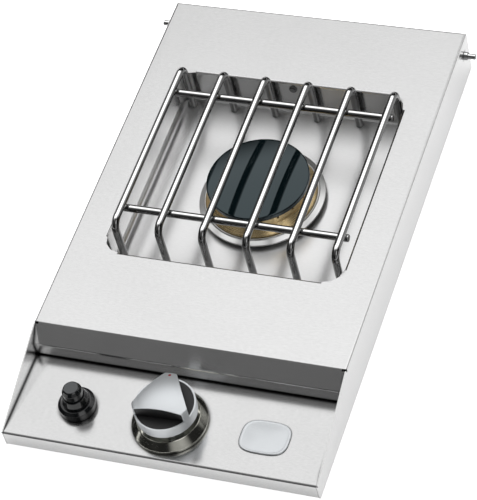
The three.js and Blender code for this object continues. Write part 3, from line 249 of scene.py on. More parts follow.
@dataclass(frozen=True)
class Finish:
    """A surface finish: its colour, its gloss and the fine detail that breaks both up."""

    name: str
    slot: str
    color: Triple
    roughness: float
    metallic: float = 1.0
    grain: Grain = Grain.NONE
    centre: Pair = (0.0, 0.0)
    fineness: float = 900.0
    length: float = 12.0
    line_color: float = 0.04
    line_roughness: float = 0.06
    patch_size: float = 18.0
    patch_color: float = 0.03
    patch_roughness: float = 0.05
    patch_contrast: float = 1.6
    tint: Triple | None = None
    coat: float = 0.0
    coat_roughness: float = 0.04
    speckle: float = 0.0
    speckle_size: float = 700.0
    stretch: float = 0.0
    # share of the colour taken off by painted shade on faces that look sideways and down
    painted_flank_shade: float = 0.0
    # share of the colour taken off by painted shade in folds and seams
    painted_crevice_shade: float = 0.0
    gloss: float = 0.5
    gloss_color: Triple = (1.0, 1.0, 1.0)

    @cache
    def material(self) -> bpy.types.Material:
        """Returns the node material of this finish, built on first use."""
        material, graph, shader = start_material("finish_" + self.name, {
            "Metallic": self.metallic, "Coat Weight": self.coat, "Coat Roughness": self.coat_roughness,
            "Specular IOR Level": self.gloss, "Specular Tint": (*self.gloss_color, 1.0),
            "Anisotropic": self.stretch})
        material.diffuse_color = (*self.color, 1.0)
        place = graph.add("ShaderNodeTexCoord").outputs["Object"]
        line = self._line(graph, place)
        patch = graph.group(ShaderGroups.patches(), {"Vector": place, "Size": self.patch_size,
                                                     "Contrast": self.patch_contrast})
        graph.link(self._color(graph, line, patch), shader["Base Color"])
        ground = self.roughness - self.line_roughness / 2
        spread = graph.math("MULTIPLY_ADD", line, self.line_roughness, ground)
        offset = graph.math("MULTIPLY_ADD", patch, self.patch_roughness, -self.patch_roughness / 2)
        graph.link(graph.math("ADD", spread, offset), shader["Roughness"])
        if self.speckle:
            graph.link(self._relief(graph, place, line), shader["Normal"])
        if self.stretch:
            graph.link(self._across(graph, place), shader["Tangent"])
        return material

    def _color(self, graph: Graph, line: Socket, patch: Socket) -> Socket:
        """Returns the colour, with its patches and lines, and with painted shade on sideways faces and in
        folds and seams.

        Args:
            graph: The material's graph.
            line: How deep in a line each point is.
            patch: How far each point is in a patch.

        Returns:
            The colour.
        """
        other = self.tint or tuple(channel * (1.0 - 2.0 * self.patch_color) for channel in self.color)
        ground = graph.blend(patch, (*self.color, 1.0), (*other, 1.0))
        shade = 1.0 - 2.0 * self.line_color
        color = graph.blend(1.0, ground, graph.blend(line, WHITE, (shade, shade, shade, 1.0)), "MULTIPLY")
        # painted shade on faces that look sideways and down
        if self.painted_flank_shade:
            color = self._flank_shaded(graph, color)
        # painted shade in folds, seams and gaps
        if self.painted_crevice_shade:
            color = graph.group(ShaderGroups.corners(), {"Color": color, "Depth": self.painted_crevice_shade})
        return color

    def _flank_shaded(self, graph: Graph, color: Socket) -> Socket:
        """Darkens the faces that look sideways and down: painted shade that stands in for the dark
        reflections on a polished wire's flanks.

        Args:
            graph: The material's graph.
            color: The colour.

        Returns:
            The darkened colour.
        """
        upward = graph.parts(graph.add("ShaderNodeNewGeometry").outputs["Normal"])[2]
        kept = graph.step(upward, start=0.79, end=0.93, low=1.0 - self.painted_flank_shade, high=1.0)
        return graph.blend(1.0, color, kept, "MULTIPLY")

    def _centred(self, graph: Graph, place: Socket) -> Socket:
        """Returns the place as seen from the finish's own centre."""
        return graph.vector("SUBTRACT", place, (*self.centre, 0.0))

    def _across(self, graph: Graph, place: Socket) -> Socket:
        """Finds the direction across the grain, in which brushed metal stretches its reflections.

        Args:
            graph: The material's graph.
            place: The place of each point.

        Returns:
            The direction.
        """
        grain: Any = (1.0, 0.0, 0.2)
        if self.grain is Grain.ROUND_Z:
            grain = graph.vector("CROSS_PRODUCT", (0.0, 0.0, 1.0), self._centred(graph, place))
        normal = graph.add("ShaderNodeNewGeometry").outputs["Normal"]
        return graph.vector("CROSS_PRODUCT", normal, grain)

    def _line(self, graph: Graph, place: Socket) -> Socket:
        """Finds how deep in a line of the grain each point is.

        Args:
            graph: The material's graph.
            place: The place of each point.

        Returns:
            The depth, between 0 and 1.
        """
        if self.grain is Grain.ROUND_Z:
            parts = graph.parts(self._centred(graph, place))
            squares = [graph.math("POWER", part, 2.0) for part in parts[:2]]
            place = graph.joined(0.0, graph.math("SQRT", graph.math("ADD", *squares)), parts[2])
        length = self.fineness if self.grain is Grain.NONE else self.length
        inputs = {"Vector": place, "Fineness": self.fineness, "Length": length}
        return graph.group(ShaderGroups.lines(), inputs)

    def _relief(self, graph: Graph, place: Socket, line: Socket) -> Socket:
        """Bumps the surface with a fine moulded speckle.

        Args:
            graph: The material's graph.
            place: The place of each point.
            line: How deep in a line each point is.

        Returns:
            The bumped surface direction.
        """
        cells = graph.add("ShaderNodeTexVoronoi", {"Vector": place, "Scale": self.speckle_size})
        height = graph.math("ADD", line, cells.outputs["Distance"])
        bump = {"Height": height, "Strength": self.speckle, "Distance": 0.2 * MM}
        return graph.add("ShaderNodeBump", bump).outputs[0]


BRUSH: dict[str, Any] = {"grain": Grain.ALONG_X, "fineness": 800.0, "length": 230.0,
                         "line_roughness": 0.01, "patch_roughness": 0.02}
BURNER_AXIS, KNOB_AXIS = (0.0, 0.0575), (0.0, -0.236)


class Finishes:
    """Every finish on the side burner."""

    BRUSHED = Finish(
        "brushed_steel", "brushed_steel", (0.775, 0.775, 0.775), 0.21, line_color=0.07, patch_size=9.0,
        patch_color=0.012, stretch=0.8, painted_crevice_shade=0.85, **BRUSH)
    # Darker than the deck's steel: partly the panel sheet's own tone, partly painted shade for the dark riser
    # that it reflects.
    PANEL = Finish(
        "panel_brushed_steel", "brushed_steel", (0.675, 0.675, 0.675), 0.19, line_color=0.075,
        patch_size=26.0, patch_color=0.02, stretch=0.6, painted_crevice_shade=0.85, **BRUSH)
    # Lighter than the deck's steel: painted light that makes up for the light the sunken pan floor loses to
    # its walls.
    PAN = Finish(
        "bright_brushed_steel", "brushed_steel", (0.95, 0.95, 0.95), 0.30, patch_size=14.0,
        patch_color=0.01, stretch=0.88, painted_crevice_shade=0.5, **BRUSH)
    # polished wires, with painted shade on their flanks and undersides
    POLISHED = Finish(
        "polished_steel", "polished_steel", (1.0, 1.0, 1.0), 0.03, grain=Grain.ALONG_X, fineness=600.0,
        length=60.0, line_color=0.01, line_roughness=0.03, painted_flank_shade=0.76)
    CUP = Finish(
        "turned_steel", "polished_steel", (0.84, 0.84, 0.83), 0.30, grain=Grain.ROUND_Z, centre=BURNER_AXIS,
        fineness=1500.0, line_color=0.02, line_roughness=0.04, stretch=0.4, painted_crevice_shade=0.6)
    KNOB = Finish(
        "satin_knob", "satin_knob", (0.72, 0.745, 0.765), 0.38, metallic=0.7, fineness=2500.0,
        line_color=0.02, line_roughness=0.08, patch_size=40.0, patch_color=0.02)
    DIAL = Finish(
        "chrome_dial", "chrome_dial", (0.64, 0.635, 0.57), 0.12, grain=Grain.ROUND_Z, centre=KNOB_AXIS,
        fineness=1800.0, line_color=0.02, line_roughness=0.05)
    GALVANISED = Finish(
        "galvanised", "galvanised", (0.58, 0.60, 0.61), 0.42, fineness=260.0, line_roughness=0.16,
        patch_size=60.0, patch_color=0.06, patch_roughness=0.2)
    ZINC = Finish(
        "zinc_plated", "galvanised", (0.64, 0.64, 0.62), 0.28, fineness=500.0, line_color=0.03,
        line_roughness=0.1, patch_size=120.0, patch_color=0.04)
    BRASS = Finish(
        "turned_brass", "brass", (1.0, 0.79, 0.44), 0.27, metallic=0.85, grain=Grain.ROUND_Z,
        centre=BURNER_AXIS, fineness=1600.0, line_color=0.03, line_roughness=0.05, patch_size=35.0,
        tint=(0.94, 0.70, 0.36), stretch=0.3)
    FITTING = Finish(
        "machined_brass", "brass", (0.76, 0.57, 0.28), 0.27, line_color=0.05, line_roughness=0.1,
        patch_size=60.0, tint=(0.62, 0.43, 0.2))
    ENAMEL = Finish(
        "black_enamel", "black_enamel", (0.003, 0.008, 0.010), 0.05, metallic=0.0, fineness=160.0,
        line_color=0.05, line_roughness=0.02, patch_size=14.0, patch_color=0.1, patch_roughness=0.01,
        coat=0.17, gloss=0.64, gloss_color=(0.72, 0.93, 1.0))
    PLASTIC = Finish(
        "black_plastic", "black_plastic", (0.007, 0.008, 0.009), 0.10, metallic=0.0, fineness=500.0,
        line_color=0.05, line_roughness=0.03, patch_size=70.0, patch_color=0.1, coat=0.25)
    MATTE = Finish(
        "matte_black_plastic", "black_plastic", (0.010, 0.010, 0.011), 0.42, metallic=0.0, fineness=1500.0,
        line_color=0.1, line_roughness=0.1, patch_size=70.0, speckle=0.25)
    SATIN_PLASTIC = Finish(
        "satin_plastic", "black_plastic", (0.085, 0.09, 0.094), 0.40, metallic=0.0, fineness=1200.0,
        line_color=0.06, patch_size=90.0, speckle=0.1)
    CERAMIC = Finish(
        "glazed_ceramic", "ceramic", (0.84, 0.82, 0.75), 0.22, metallic=0.0, fineness=400.0,
        line_color=0.02, patch_size=120.0, patch_color=0.05, coat=0.6)
    SILICONE = Finish(
        "red_silicone", "red_silicone", (0.33, 0.05, 0.03), 0.55, metallic=0.0, fineness=700.0,
        line_color=0.06, patch_size=60.0, patch_color=0.08, speckle=0.15)
    RED_PAINT = Finish("red_paint", "black_plastic", (0.26, 0.003, 0.010), 0.35, metallic=0.0)
    DARK_PAINT = Finish("dial_paint", "black_plastic", (0.012, 0.012, 0.013), 0.40, metallic=0.0)


def settle(obj: Piece, finish: Finish, body: str, replaces: Sequence[str] = ()) -> Piece:
    """Gives a finished mesh its finish and its body, and hides the nodes that it stands for.

    Args:
        obj: The piece, with its place in its mesh.
        finish: Its finish.
        body: The body that it rides on.
        replaces: The nodes that it stands for.

    Returns:
        The piece.
    """
    obj.data.materials.clear()
    obj.data.materials.append(finish.material())
    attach(obj, body)
    if replaces:
        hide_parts(*replaces)
    LOG.info("%s rides on %s in %s", obj.name, body, finish.name)
    return obj


def show(name: str, data: bpy.types.ID) -> Piece:
    """Puts a mesh, a lamp or a camera in the scene.

    Args:
        name: Name of the object.
        data: The mesh, lamp or camera.

    Returns:
        The object.
    """
    obj = bpy.data.objects.new(name, data)
    bpy.context.scene.collection.objects.link(obj)
    return obj


def mesh_alone(obj: Piece) -> bpy.types.Mesh:
    """Takes an object out of the scene and keeps its mesh.

    Args:
        obj: The object, which is removed.

    Returns:
        Its mesh.
    """
    mesh = obj.data
    bpy.data.objects.remove(obj)
    return mesh


def bake(obj: Piece) -> Piece:
    """Turns an object's modifiers into plain mesh and removes them.

    Args:
        obj: The object.

    Returns:
        The same object.
    """
    graph = bpy.context.evaluated_depsgraph_get()
    mesh = bpy.data.meshes.new_from_object(obj.evaluated_get(graph), depsgraph=graph)
    mesh.name = obj.name
    obj.modifiers.clear()
    obj.data = mesh
    return obj


def close(work: bmesh.types.BMesh, name: str, outward: bool = True) -> Piece:
    """Turns a work mesh into a piece in the scene.

    Args:
        work: The work mesh, which is freed.
        name: Name of the piece.
        outward: Whether its faces are turned outward first.

    Returns:
        The piece.
    """
    if outward:
        bmesh.ops.recalc_face_normals(work, faces=work.faces)
    mesh = bpy.data.meshes.new(name)
    work.to_mesh(mesh)
    work.free()
    return show(name, mesh)


def soften(obj: Piece, width: float = 0.0, limit: float = ROUND_LIMIT, segments: int = 2) -> Piece:
    """Breaks the sharp edges of a piece and shades the rest smooth.

    Args:
        obj: The piece.
        width: Width of the broken edge in millimetres, or 0 for none.
        limit: Edges turned by more than this many degrees are sharp.
        segments: Facets across a broken edge.

    Returns:
        The piece.
    """
    obj.data.shade_smooth()
    obj.data.set_sharp_from_angle(angle=math.radians(limit))
    if width:
        bevel = obj.modifiers.new("broken_edges", "BEVEL")
        bevel.width = width * MM
        bevel.segments = segments
        bevel.limit_method = "ANGLE"
        bevel.angle_limit = math.radians(limit)
        bevel.harden_normals = True
    weighted = obj.modifiers.new("flat_faces", "WEIGHTED_NORMAL")
    weighted.keep_sharp = True
    return bake(obj)


def copy_of(node: str, name: str, width: float, limit: float = 32.0) -> Piece:
    """Copies a node's mesh, merges it and breaks its edges.

    Args:
        node: The node.
        name: Name of the copy.
        width: Width of the broken edges in millimetres.
        limit: Edges turned by more than this many degrees are sharp.

    Returns:
        The copy.
    """
    work = bmesh.new()
    work.from_mesh(FRAME_NODES[node].data)
    bmesh.ops.remove_doubles(work, verts=work.verts, dist=MERGED)
    bmesh.ops.dissolve_degenerate(work, dist=MERGED, edges=work.edges)
    bmesh.ops.dissolve_limit(work, angle_limit=FLAT, verts=work.verts, edges=work.edges)
    return soften(close(work, name, outward=False), width, limit)


def carve(obj: Piece, *cutters: Piece, operation: str = "DIFFERENCE") -> Piece:
    """Cuts closed shapes out of a piece, or keeps what lies in them, and removes them.

    Args:
        obj: The piece.
        *cutters: The closed shapes.
        operation: Blender's name of the operation.

    Returns:
        The piece.
    """
    for cutter in cutters:
        modifier = obj.modifiers.new("cut", "BOOLEAN")
        modifier.operation = operation
        modifier.object = cutter
        modifier.solver = "EXACT"
    bake(obj)
    for cutter in cutters:
        bpy.data.objects.remove(cutter)
    return obj


def rounded(profile: Profile, default: float, closed: bool, steps: int = 4) -> list[Pair]:
    """Rounds the corners of a flat outline.

    Args:
        profile: Corners as (x, y) or (x, y, radius), in millimetres.
        default: Radius of the corners that state none.
        closed: Whether the last corner is joined to the first.
        steps: Facets across each corner.

    Returns:
        The rounded outline.
    """
    outline: list[Pair] = []
    count = len(profile)
    for index, entry in enumerate(profile):
        corner = Vector(entry[:2])
        radius = entry[2] if len(entry) > 2 else default
        if radius <= 0 or (not closed and index in (0, count - 1)):
            outline.append(tuple(corner))
            continue
        back = Vector(profile[index - 1][:2]) - corner
        ahead = Vector(profile[(index + 1) % count][:2]) - corner
        turn = back.angle(ahead)
        reach = min(radius / math.tan(turn / 2), back.length * LONGEST_SHARE, ahead.length * LONGEST_SHARE)
        start, end = corner + back.normalized() * reach, corner + ahead.normalized() * reach
        for step in range(steps + 1):
            share = step / steps
            first = start.lerp(corner, share)
            outline.append(tuple(first.lerp(corner.lerp(end, share), share)))
    return outline


def skin(work: bmesh.types.BMesh, rings: Sequence[Sequence[Any]], closed: bool = False) -> None:
    """Joins each ring of corners to the next with faces.

    Args:
        work: The work mesh.
        rings: Its rings. A ring of one corner makes a tip.
        closed: Whether the last ring is joined to the first.
    """
    pairs = list(zip(rings, rings[1:]))
    if closed:
        pairs.append((rings[-1], rings[0]))
    for first, second in pairs:
        for step in range(max(len(first), len(second))):
            loop = [ring[place % len(ring)] for ring, place in (
                (first, step), (first, step + 1), (second, step + 1), (second, step))]
            face = list(dict.fromkeys(loop))
            if len(face) > 2:
                work.faces.new(face)


def turned(name: str, profile: Profile, centre: Pair, ease: float = 0.25, segments: int = 96,
           turn: Matrix | None = None) -> Piece:
    """Turns an outline round an upright axis into a closed piece.

    Args:
        name: Name of the piece.
        profile: Corners as (radius, height) or (radius, height, rounding), in millimetres.
        centre: Place of the axis from the front lip, in millimetres.
        ease: Rounding of the corners that state none.
        segments: Facets round the axis.
        turn: Placement in place of centre, from millimetres to the row frame.

    Returns:
        The piece.
    """
    solid = profile[0][0] == 0
    outline = rounded(profile, ease, not solid)
    place = turn or placed(*centre)
    work = bmesh.new()
    rings = []
    for radius, height in outline:
        if radius <= 1e-6:
            rings.append([work.verts.new(place @ Vector((0, 0, height)))])
            continue
        angles = (FULL_TURN * step / segments for step in range(segments))
        rings.append([work.verts.new(place @ Vector((radius * math.cos(angle), radius * math.sin(angle),
                                                     height))) for angle in angles])
    skin(work, rings, closed=not solid)
    return soften(close(work, name))


def prism(name: str, outline: Profile, low: float, high: float, place: Matrix) -> Piece:
    """Raises a flat outline into a closed block.

    Args:
        name: Name of the block.
        outline: Its corners in millimetres.
        low: Height of its floor.
        high: Height of its roof.
        place: Placement from millimetres to the row frame.

    Returns:
        The block.
    """
    work = bmesh.new()
    floor = [work.verts.new(place @ Vector((x, y, low))) for x, y in outline]
    roof = [work.verts.new(place @ Vector((x, y, high))) for x, y in outline]
    work.faces.new(floor)
    work.faces.new(roof)
    skin(work, [floor, roof])
    return close(work, name)


def placed(x: float, y: float, z: float = 0.0, angle: float = 0.0, axis: str = "Z") -> Matrix:
    """Returns the placement of a millimetre shape at a place, turned by degrees about an axis."""
    return Matrix.Translation(at(x, y, z)) @ Matrix.Rotation(math.radians(angle), 4, axis) @ MILLIMETRES


def corner_box(x0: float, x1: float, y0: float, y1: float) -> list[Pair]:
    """Returns the four corners of an upright block."""
    return [(x0, y0), (x1, y0), (x1, y1), (x0, y1)]


class Trees:
    """The geometry trees that make rods and repeated shapes."""

    @staticmethod
    @cache
    def rod() -> Tree:
        """Returns the tree that makes a round rod bent along a chain of edges."""
        inputs = {"Geometry": GEOMETRY, "Rod Radius": NUMBER, "Bend Radius": NUMBER,
                  "Bend Steps": (WHOLE, 12), "Sides": (WHOLE, 28), "Finish": MATERIAL}
        graph, source, target = start_group("bent_rod", "GeometryNodeTree", inputs, {"Geometry": GEOMETRY})
        path = graph.add("GeometryNodeMeshToCurve", {"Mesh": source["Geometry"]}).outputs[0]
        bends = {"Curve": path, "Radius": source["Bend Radius"], "Count": source["Bend Steps"]}
        bent = graph.add("GeometryNodeFilletCurve", bends, mode="POLY").outputs[0]
        circle = {"Resolution": source["Sides"], "Radius": source["Rod Radius"]}
        ring = graph.add("GeometryNodeCurvePrimitiveCircle", circle).outputs[0]
        sweep = {"Curve": bent, "Profile Curve": ring, "Fill Caps": True}
        rod = graph.add("GeometryNodeCurveToMesh", sweep).outputs[0]
        return Trees._close(graph, rod, source["Finish"], target)

    @staticmethod
    @cache
    def ring() -> Tree:
        """Returns the tree that repeats a shape round an upright axis, growing from first to last."""
        inputs = {"Geometry": GEOMETRY, "Count": WHOLE, "Start Angle": NUMBER, "Step Angle": NUMBER,
                  "Ring Radius": NUMBER, "Centre": VECTOR, "Tilt": NUMBER, "First Size": (NUMBER, 1.0),
                  "Last Size": (NUMBER, 1.0), "Finish": MATERIAL}
        outputs = {"Geometry": GEOMETRY}
        graph, source, target = start_group("ring_of_shapes", "GeometryNodeTree", inputs, outputs)
        index = graph.add("GeometryNodeInputIndex").outputs[0]
        angle = graph.math("MULTIPLY_ADD", index, source["Step Angle"], source["Start Angle"])
        across = graph.math("MULTIPLY", graph.math("COSINE", angle), source["Ring Radius"])
        along = graph.math("MULTIPLY", graph.math("SINE", angle), source["Ring Radius"])
        place = graph.vector("ADD", graph.joined(across, along), source["Centre"])
        points = graph.add("GeometryNodePoints", {"Count": source["Count"], "Position": place}).outputs[0]
        last = graph.math("MAXIMUM", graph.math("SUBTRACT", source["Count"], 1.0), 1.0)
        growth = graph.math("SUBTRACT", source["Last Size"], source["First Size"])
        size = graph.math("MULTIPLY_ADD", graph.math("DIVIDE", index, last), growth, source["First Size"])
        copies = graph.add("GeometryNodeInstanceOnPoints", {
            "Points": points, "Instance": source["Geometry"], "Scale": size,
            "Rotation": graph.joined(0.0, source["Tilt"], angle)}).outputs[0]
        return Trees._close(graph, copies, source["Finish"], target)

    @staticmethod
    def _close(graph: Graph, shape: Any, finish: Any, target: Any) -> Tree:
        """Ends a tree in real geometry that carries its material.

        Args:
            graph: The tree's graph.
            shape: The shape that it makes.
            finish: The material.
            target: The inputs of the tree's last node.

        Returns:
            The tree.
        """
        real = graph.add("GeometryNodeRealizeInstances", {"Geometry": shape}).outputs[0]
        dressed = graph.add("GeometryNodeSetMaterial", {"Geometry": real, "Material": finish}).outputs[0]
        graph.link(dressed, target["Geometry"])
        return graph.tree

    @staticmethod
    def run(tree: Tree, name: str, mesh: bpy.types.Mesh, values: dict[str, Any]) -> Piece:
        """Runs a tree on a mesh.

        Args:
            tree: The tree.
            name: Name of the piece that comes out.
            mesh: The mesh that goes in.
            values: Its named inputs.

        Returns:
            The piece, as plain mesh.
        """
        obj = show(name, mesh)
        modifier = obj.modifiers.new("maker", "NODES")
        modifier.node_group = tree
        for item in tree.interface.items_tree:
            if item.item_type == "SOCKET" and item.in_out == "INPUT" and item.name in values:
                modifier[item.identifier] = values[item.name]
        bake(obj)
        work = bmesh.new()
        work.from_mesh(obj.data)
        bmesh.ops.recalc_face_normals(work, faces=work.faces)
        work.to_mesh(obj.data)
        work.free()
        return soften(obj)


def chain(name: str, corners: Sequence[Vector]) -> bpy.types.Mesh:
    """Joins corners by edges, one after the other.

    Args:
        name: Name of the mesh.
        corners: The corners in the row frame.

    Returns:
        The mesh of edges.
    """
    mesh = bpy.data.meshes.new(name)
    edges = [(index, index + 1) for index in range(len(corners) - 1)]
    mesh.from_pydata([tuple(corner) for corner in corners], edges, [])
    return mesh


def numbered(name: str, count: int) -> tuple[str, ...]:
    """Returns the names of pieces that are numbered from 1."""
    return tuple("%s_%d" % (name, number + 1) for number in range(count))


@dataclass
class SheetMetal:
    """The folded top, the panel, the pan and the box."""

    edge: float = 0.25
    sheets: dict[str, Finish] = field(default_factory=lambda: {
        "top_deck": Finishes.BRUSHED, "control_panel": Finishes.PANEL, "burner_pan": Finishes.PAN,
        **dict.fromkeys(("box_wrap", "box_front", "box_back"), Finishes.GALVANISED)})

    def make(self) -> None:
        """Makes the smooth sheets with their broken edges."""
        for node, finish in self.sheets.items():
            sheet = copy_of(node, node + "_sheet", self.edge)
            settle(sheet, finish, "base", [node])


@dataclass
class Grate:
    """The six bent wires and the two cross rods."""

    wire: float = 8.0
    bend: float = 11.0
    reach: float = 118.3
    count: int = 6
    front: float = 236.0
    back: float = 455.0
    foot: float = 8.8
    crown: float = 69.8
    rod_end: float = 124.0
    rod_height: float = 61.7
    rod_places: Pair = (264.5, 425.0)

    def make(self) -> None:
        """Makes the wires and rods."""
        for index, name in enumerate(numbered("grate_wire", self.count)):
            x = -self.reach + 2 * self.reach * index / (self.count - 1)
            corners = [at(x, self.front, self.foot), at(x, self.front, self.crown),
                       at(x, self.back, self.crown), at(x, self.back, self.foot)]
            values = {"Rod Radius": self.wire / 2 * MM, "Bend Radius": self.bend * MM,
                      "Finish": Finishes.POLISHED.material()}
            wire = Trees.run(Trees.rod(), name + "_round", chain(name, corners), values)
            settle(wire, Finishes.POLISHED, "grate", [name])
        radius = self.wire / 2
        end = self.rod_end
        ends = [(0, -end), (radius, -end, 1.2), (radius, end, 1.2), (0, end)]
        for name, y in zip(("grate_rod_front", "grate_rod_back"), self.rod_places):
            lay = placed(0, y, self.rod_height, 90, "Y")
            rod = turned(name + "_round", ends, (0, 0), segments=32, turn=lay)
            settle(rod, Finishes.POLISHED, "grate", [name])


@dataclass
class Burner:
    """The cup with its collar, the brass flame spreader and the enamelled cap."""

    place: Pair = (0.0, 338.0)
    floor: float = 8.5
    collar_top: float = 18.2
    spreader_top: float = 38.0
    port_count: int = 18
    port_radius: float = 1.5
    port_circle: float = 49.0
    port_drop: float = 2.6
    cup_bottom: float = -29.4
    gas_line: float = -12.0
    notch_angle: float = 120.0
    cap_radius: float = 54.2
    cap_dome: float = 2.6

    def make(self) -> None:
        """Makes the three stacked pieces."""
        self._cup()
        self._spreader()
        self._cap()

    def _cup(self) -> None:
        """Makes the cup with its foot, collar and lip."""
        low, foot, top = self.cup_bottom, self.floor + 0.3, self.collar_top
        profile = [
            (0, low), (44.6, low, 2), (49.6, low + 5, 2), (49.6, foot), (57, foot), (57, foot + 2, 0.6),
            (52, foot + 2), (52, top - 1.6), (62.5, top - 1.6, 1), (64.6, top - 3.4), (60.2, foot + 0.2),
            (61.4, foot + 0.2), (66.2, top - 3.6, 0.4), (67, top - 3.0, 0.4), (66.6, top - 1.9, 0.6),
            (61, top, 2.0), (60.5, top + 1.4, 0.4), (59.3, top + 1.4, 0.4), (59.3, top, 0.2),
            (46.4, top, 0.8), (46.4, low + 8.2, 2), (41.4, low + 3.2, 2), (0, low + 3.2)]
        cup = turned("burner_cup_round", profile, self.place)
        gap = placed(*self.place, angle=self.notch_angle)
        notch = prism("notch", corner_box(59, 69, -3, 3), self.floor, top + 4, gap)
        inlet = turned("inlet", [(0, -60), (12.8, -60, 0), (12.8, -40, 0), (0, -40)], (0, 0),
                       turn=placed(*self.place, self.gas_line, -90, "X"))
        soften(carve(cup, notch, inlet))
        settle(cup, Finishes.CUP, "base", ["burner_cup"])

    def _spreader(self) -> None:
        """Makes the brass ring with its row of flame ports."""
        low, top = self.collar_top + 0.3, self.spreader_top
        profile = [(46, low), (58.8, low, 0.5), (58.8, low + 3, 1.0), (52.6, top - 10.5, 1.5),
                   (52, top - 9.9, 0.6), (52, top, 0.5), (46, top)]
        ring = turned("flame_spreader_round", profile, self.place, segments=144)
        radius = self.port_radius
        hole = turned("port", [(0, -8), (radius, -8, 0), (radius, 8, 0), (0, 8)], (0, 0), segments=12,
                      turn=Matrix.Rotation(math.radians(90), 4, "Y") @ MILLIMETRES)
        step = FULL_TURN / self.port_count
        values = {"Count": self.port_count, "Start Angle": step / 2, "Step Angle": step,
                  "Ring Radius": self.port_circle * MM, "Centre": at(*self.place, top - self.port_drop),
                  "Finish": Finishes.BRASS.material()}
        ports = Trees.run(Trees.ring(), "ports", mesh_alone(hole), values)
        soften(carve(ring, ports))
        settle(ring, Finishes.BRASS, "spreader", ["flame_spreader"])

    def _cap(self) -> None:
        """Makes the enamelled cap."""
        low, rim = self.spreader_top + 0.3, self.cap_radius
        edge = low + 6.4
        radii = [51.0 * share / 16 for share in range(16, -1, -1)]
        dome = [(radius, edge + self.cap_dome * (1 - (radius / rim) ** 2), 0) for radius in radii]
        profile = [(0, low), (42.5, low, 0.4), (42.5, low - 3.4, 0.4), (45.5, low - 3.4, 0.4),
                   (45.5, low, 0.4), (rim, low, 1.8), (rim, edge, 2.4), *dome]
        cap = turned("burner_cap_round", profile, self.place, segments=128)
        settle(cap, Finishes.ENAMEL, "cap", ["burner_cap"])


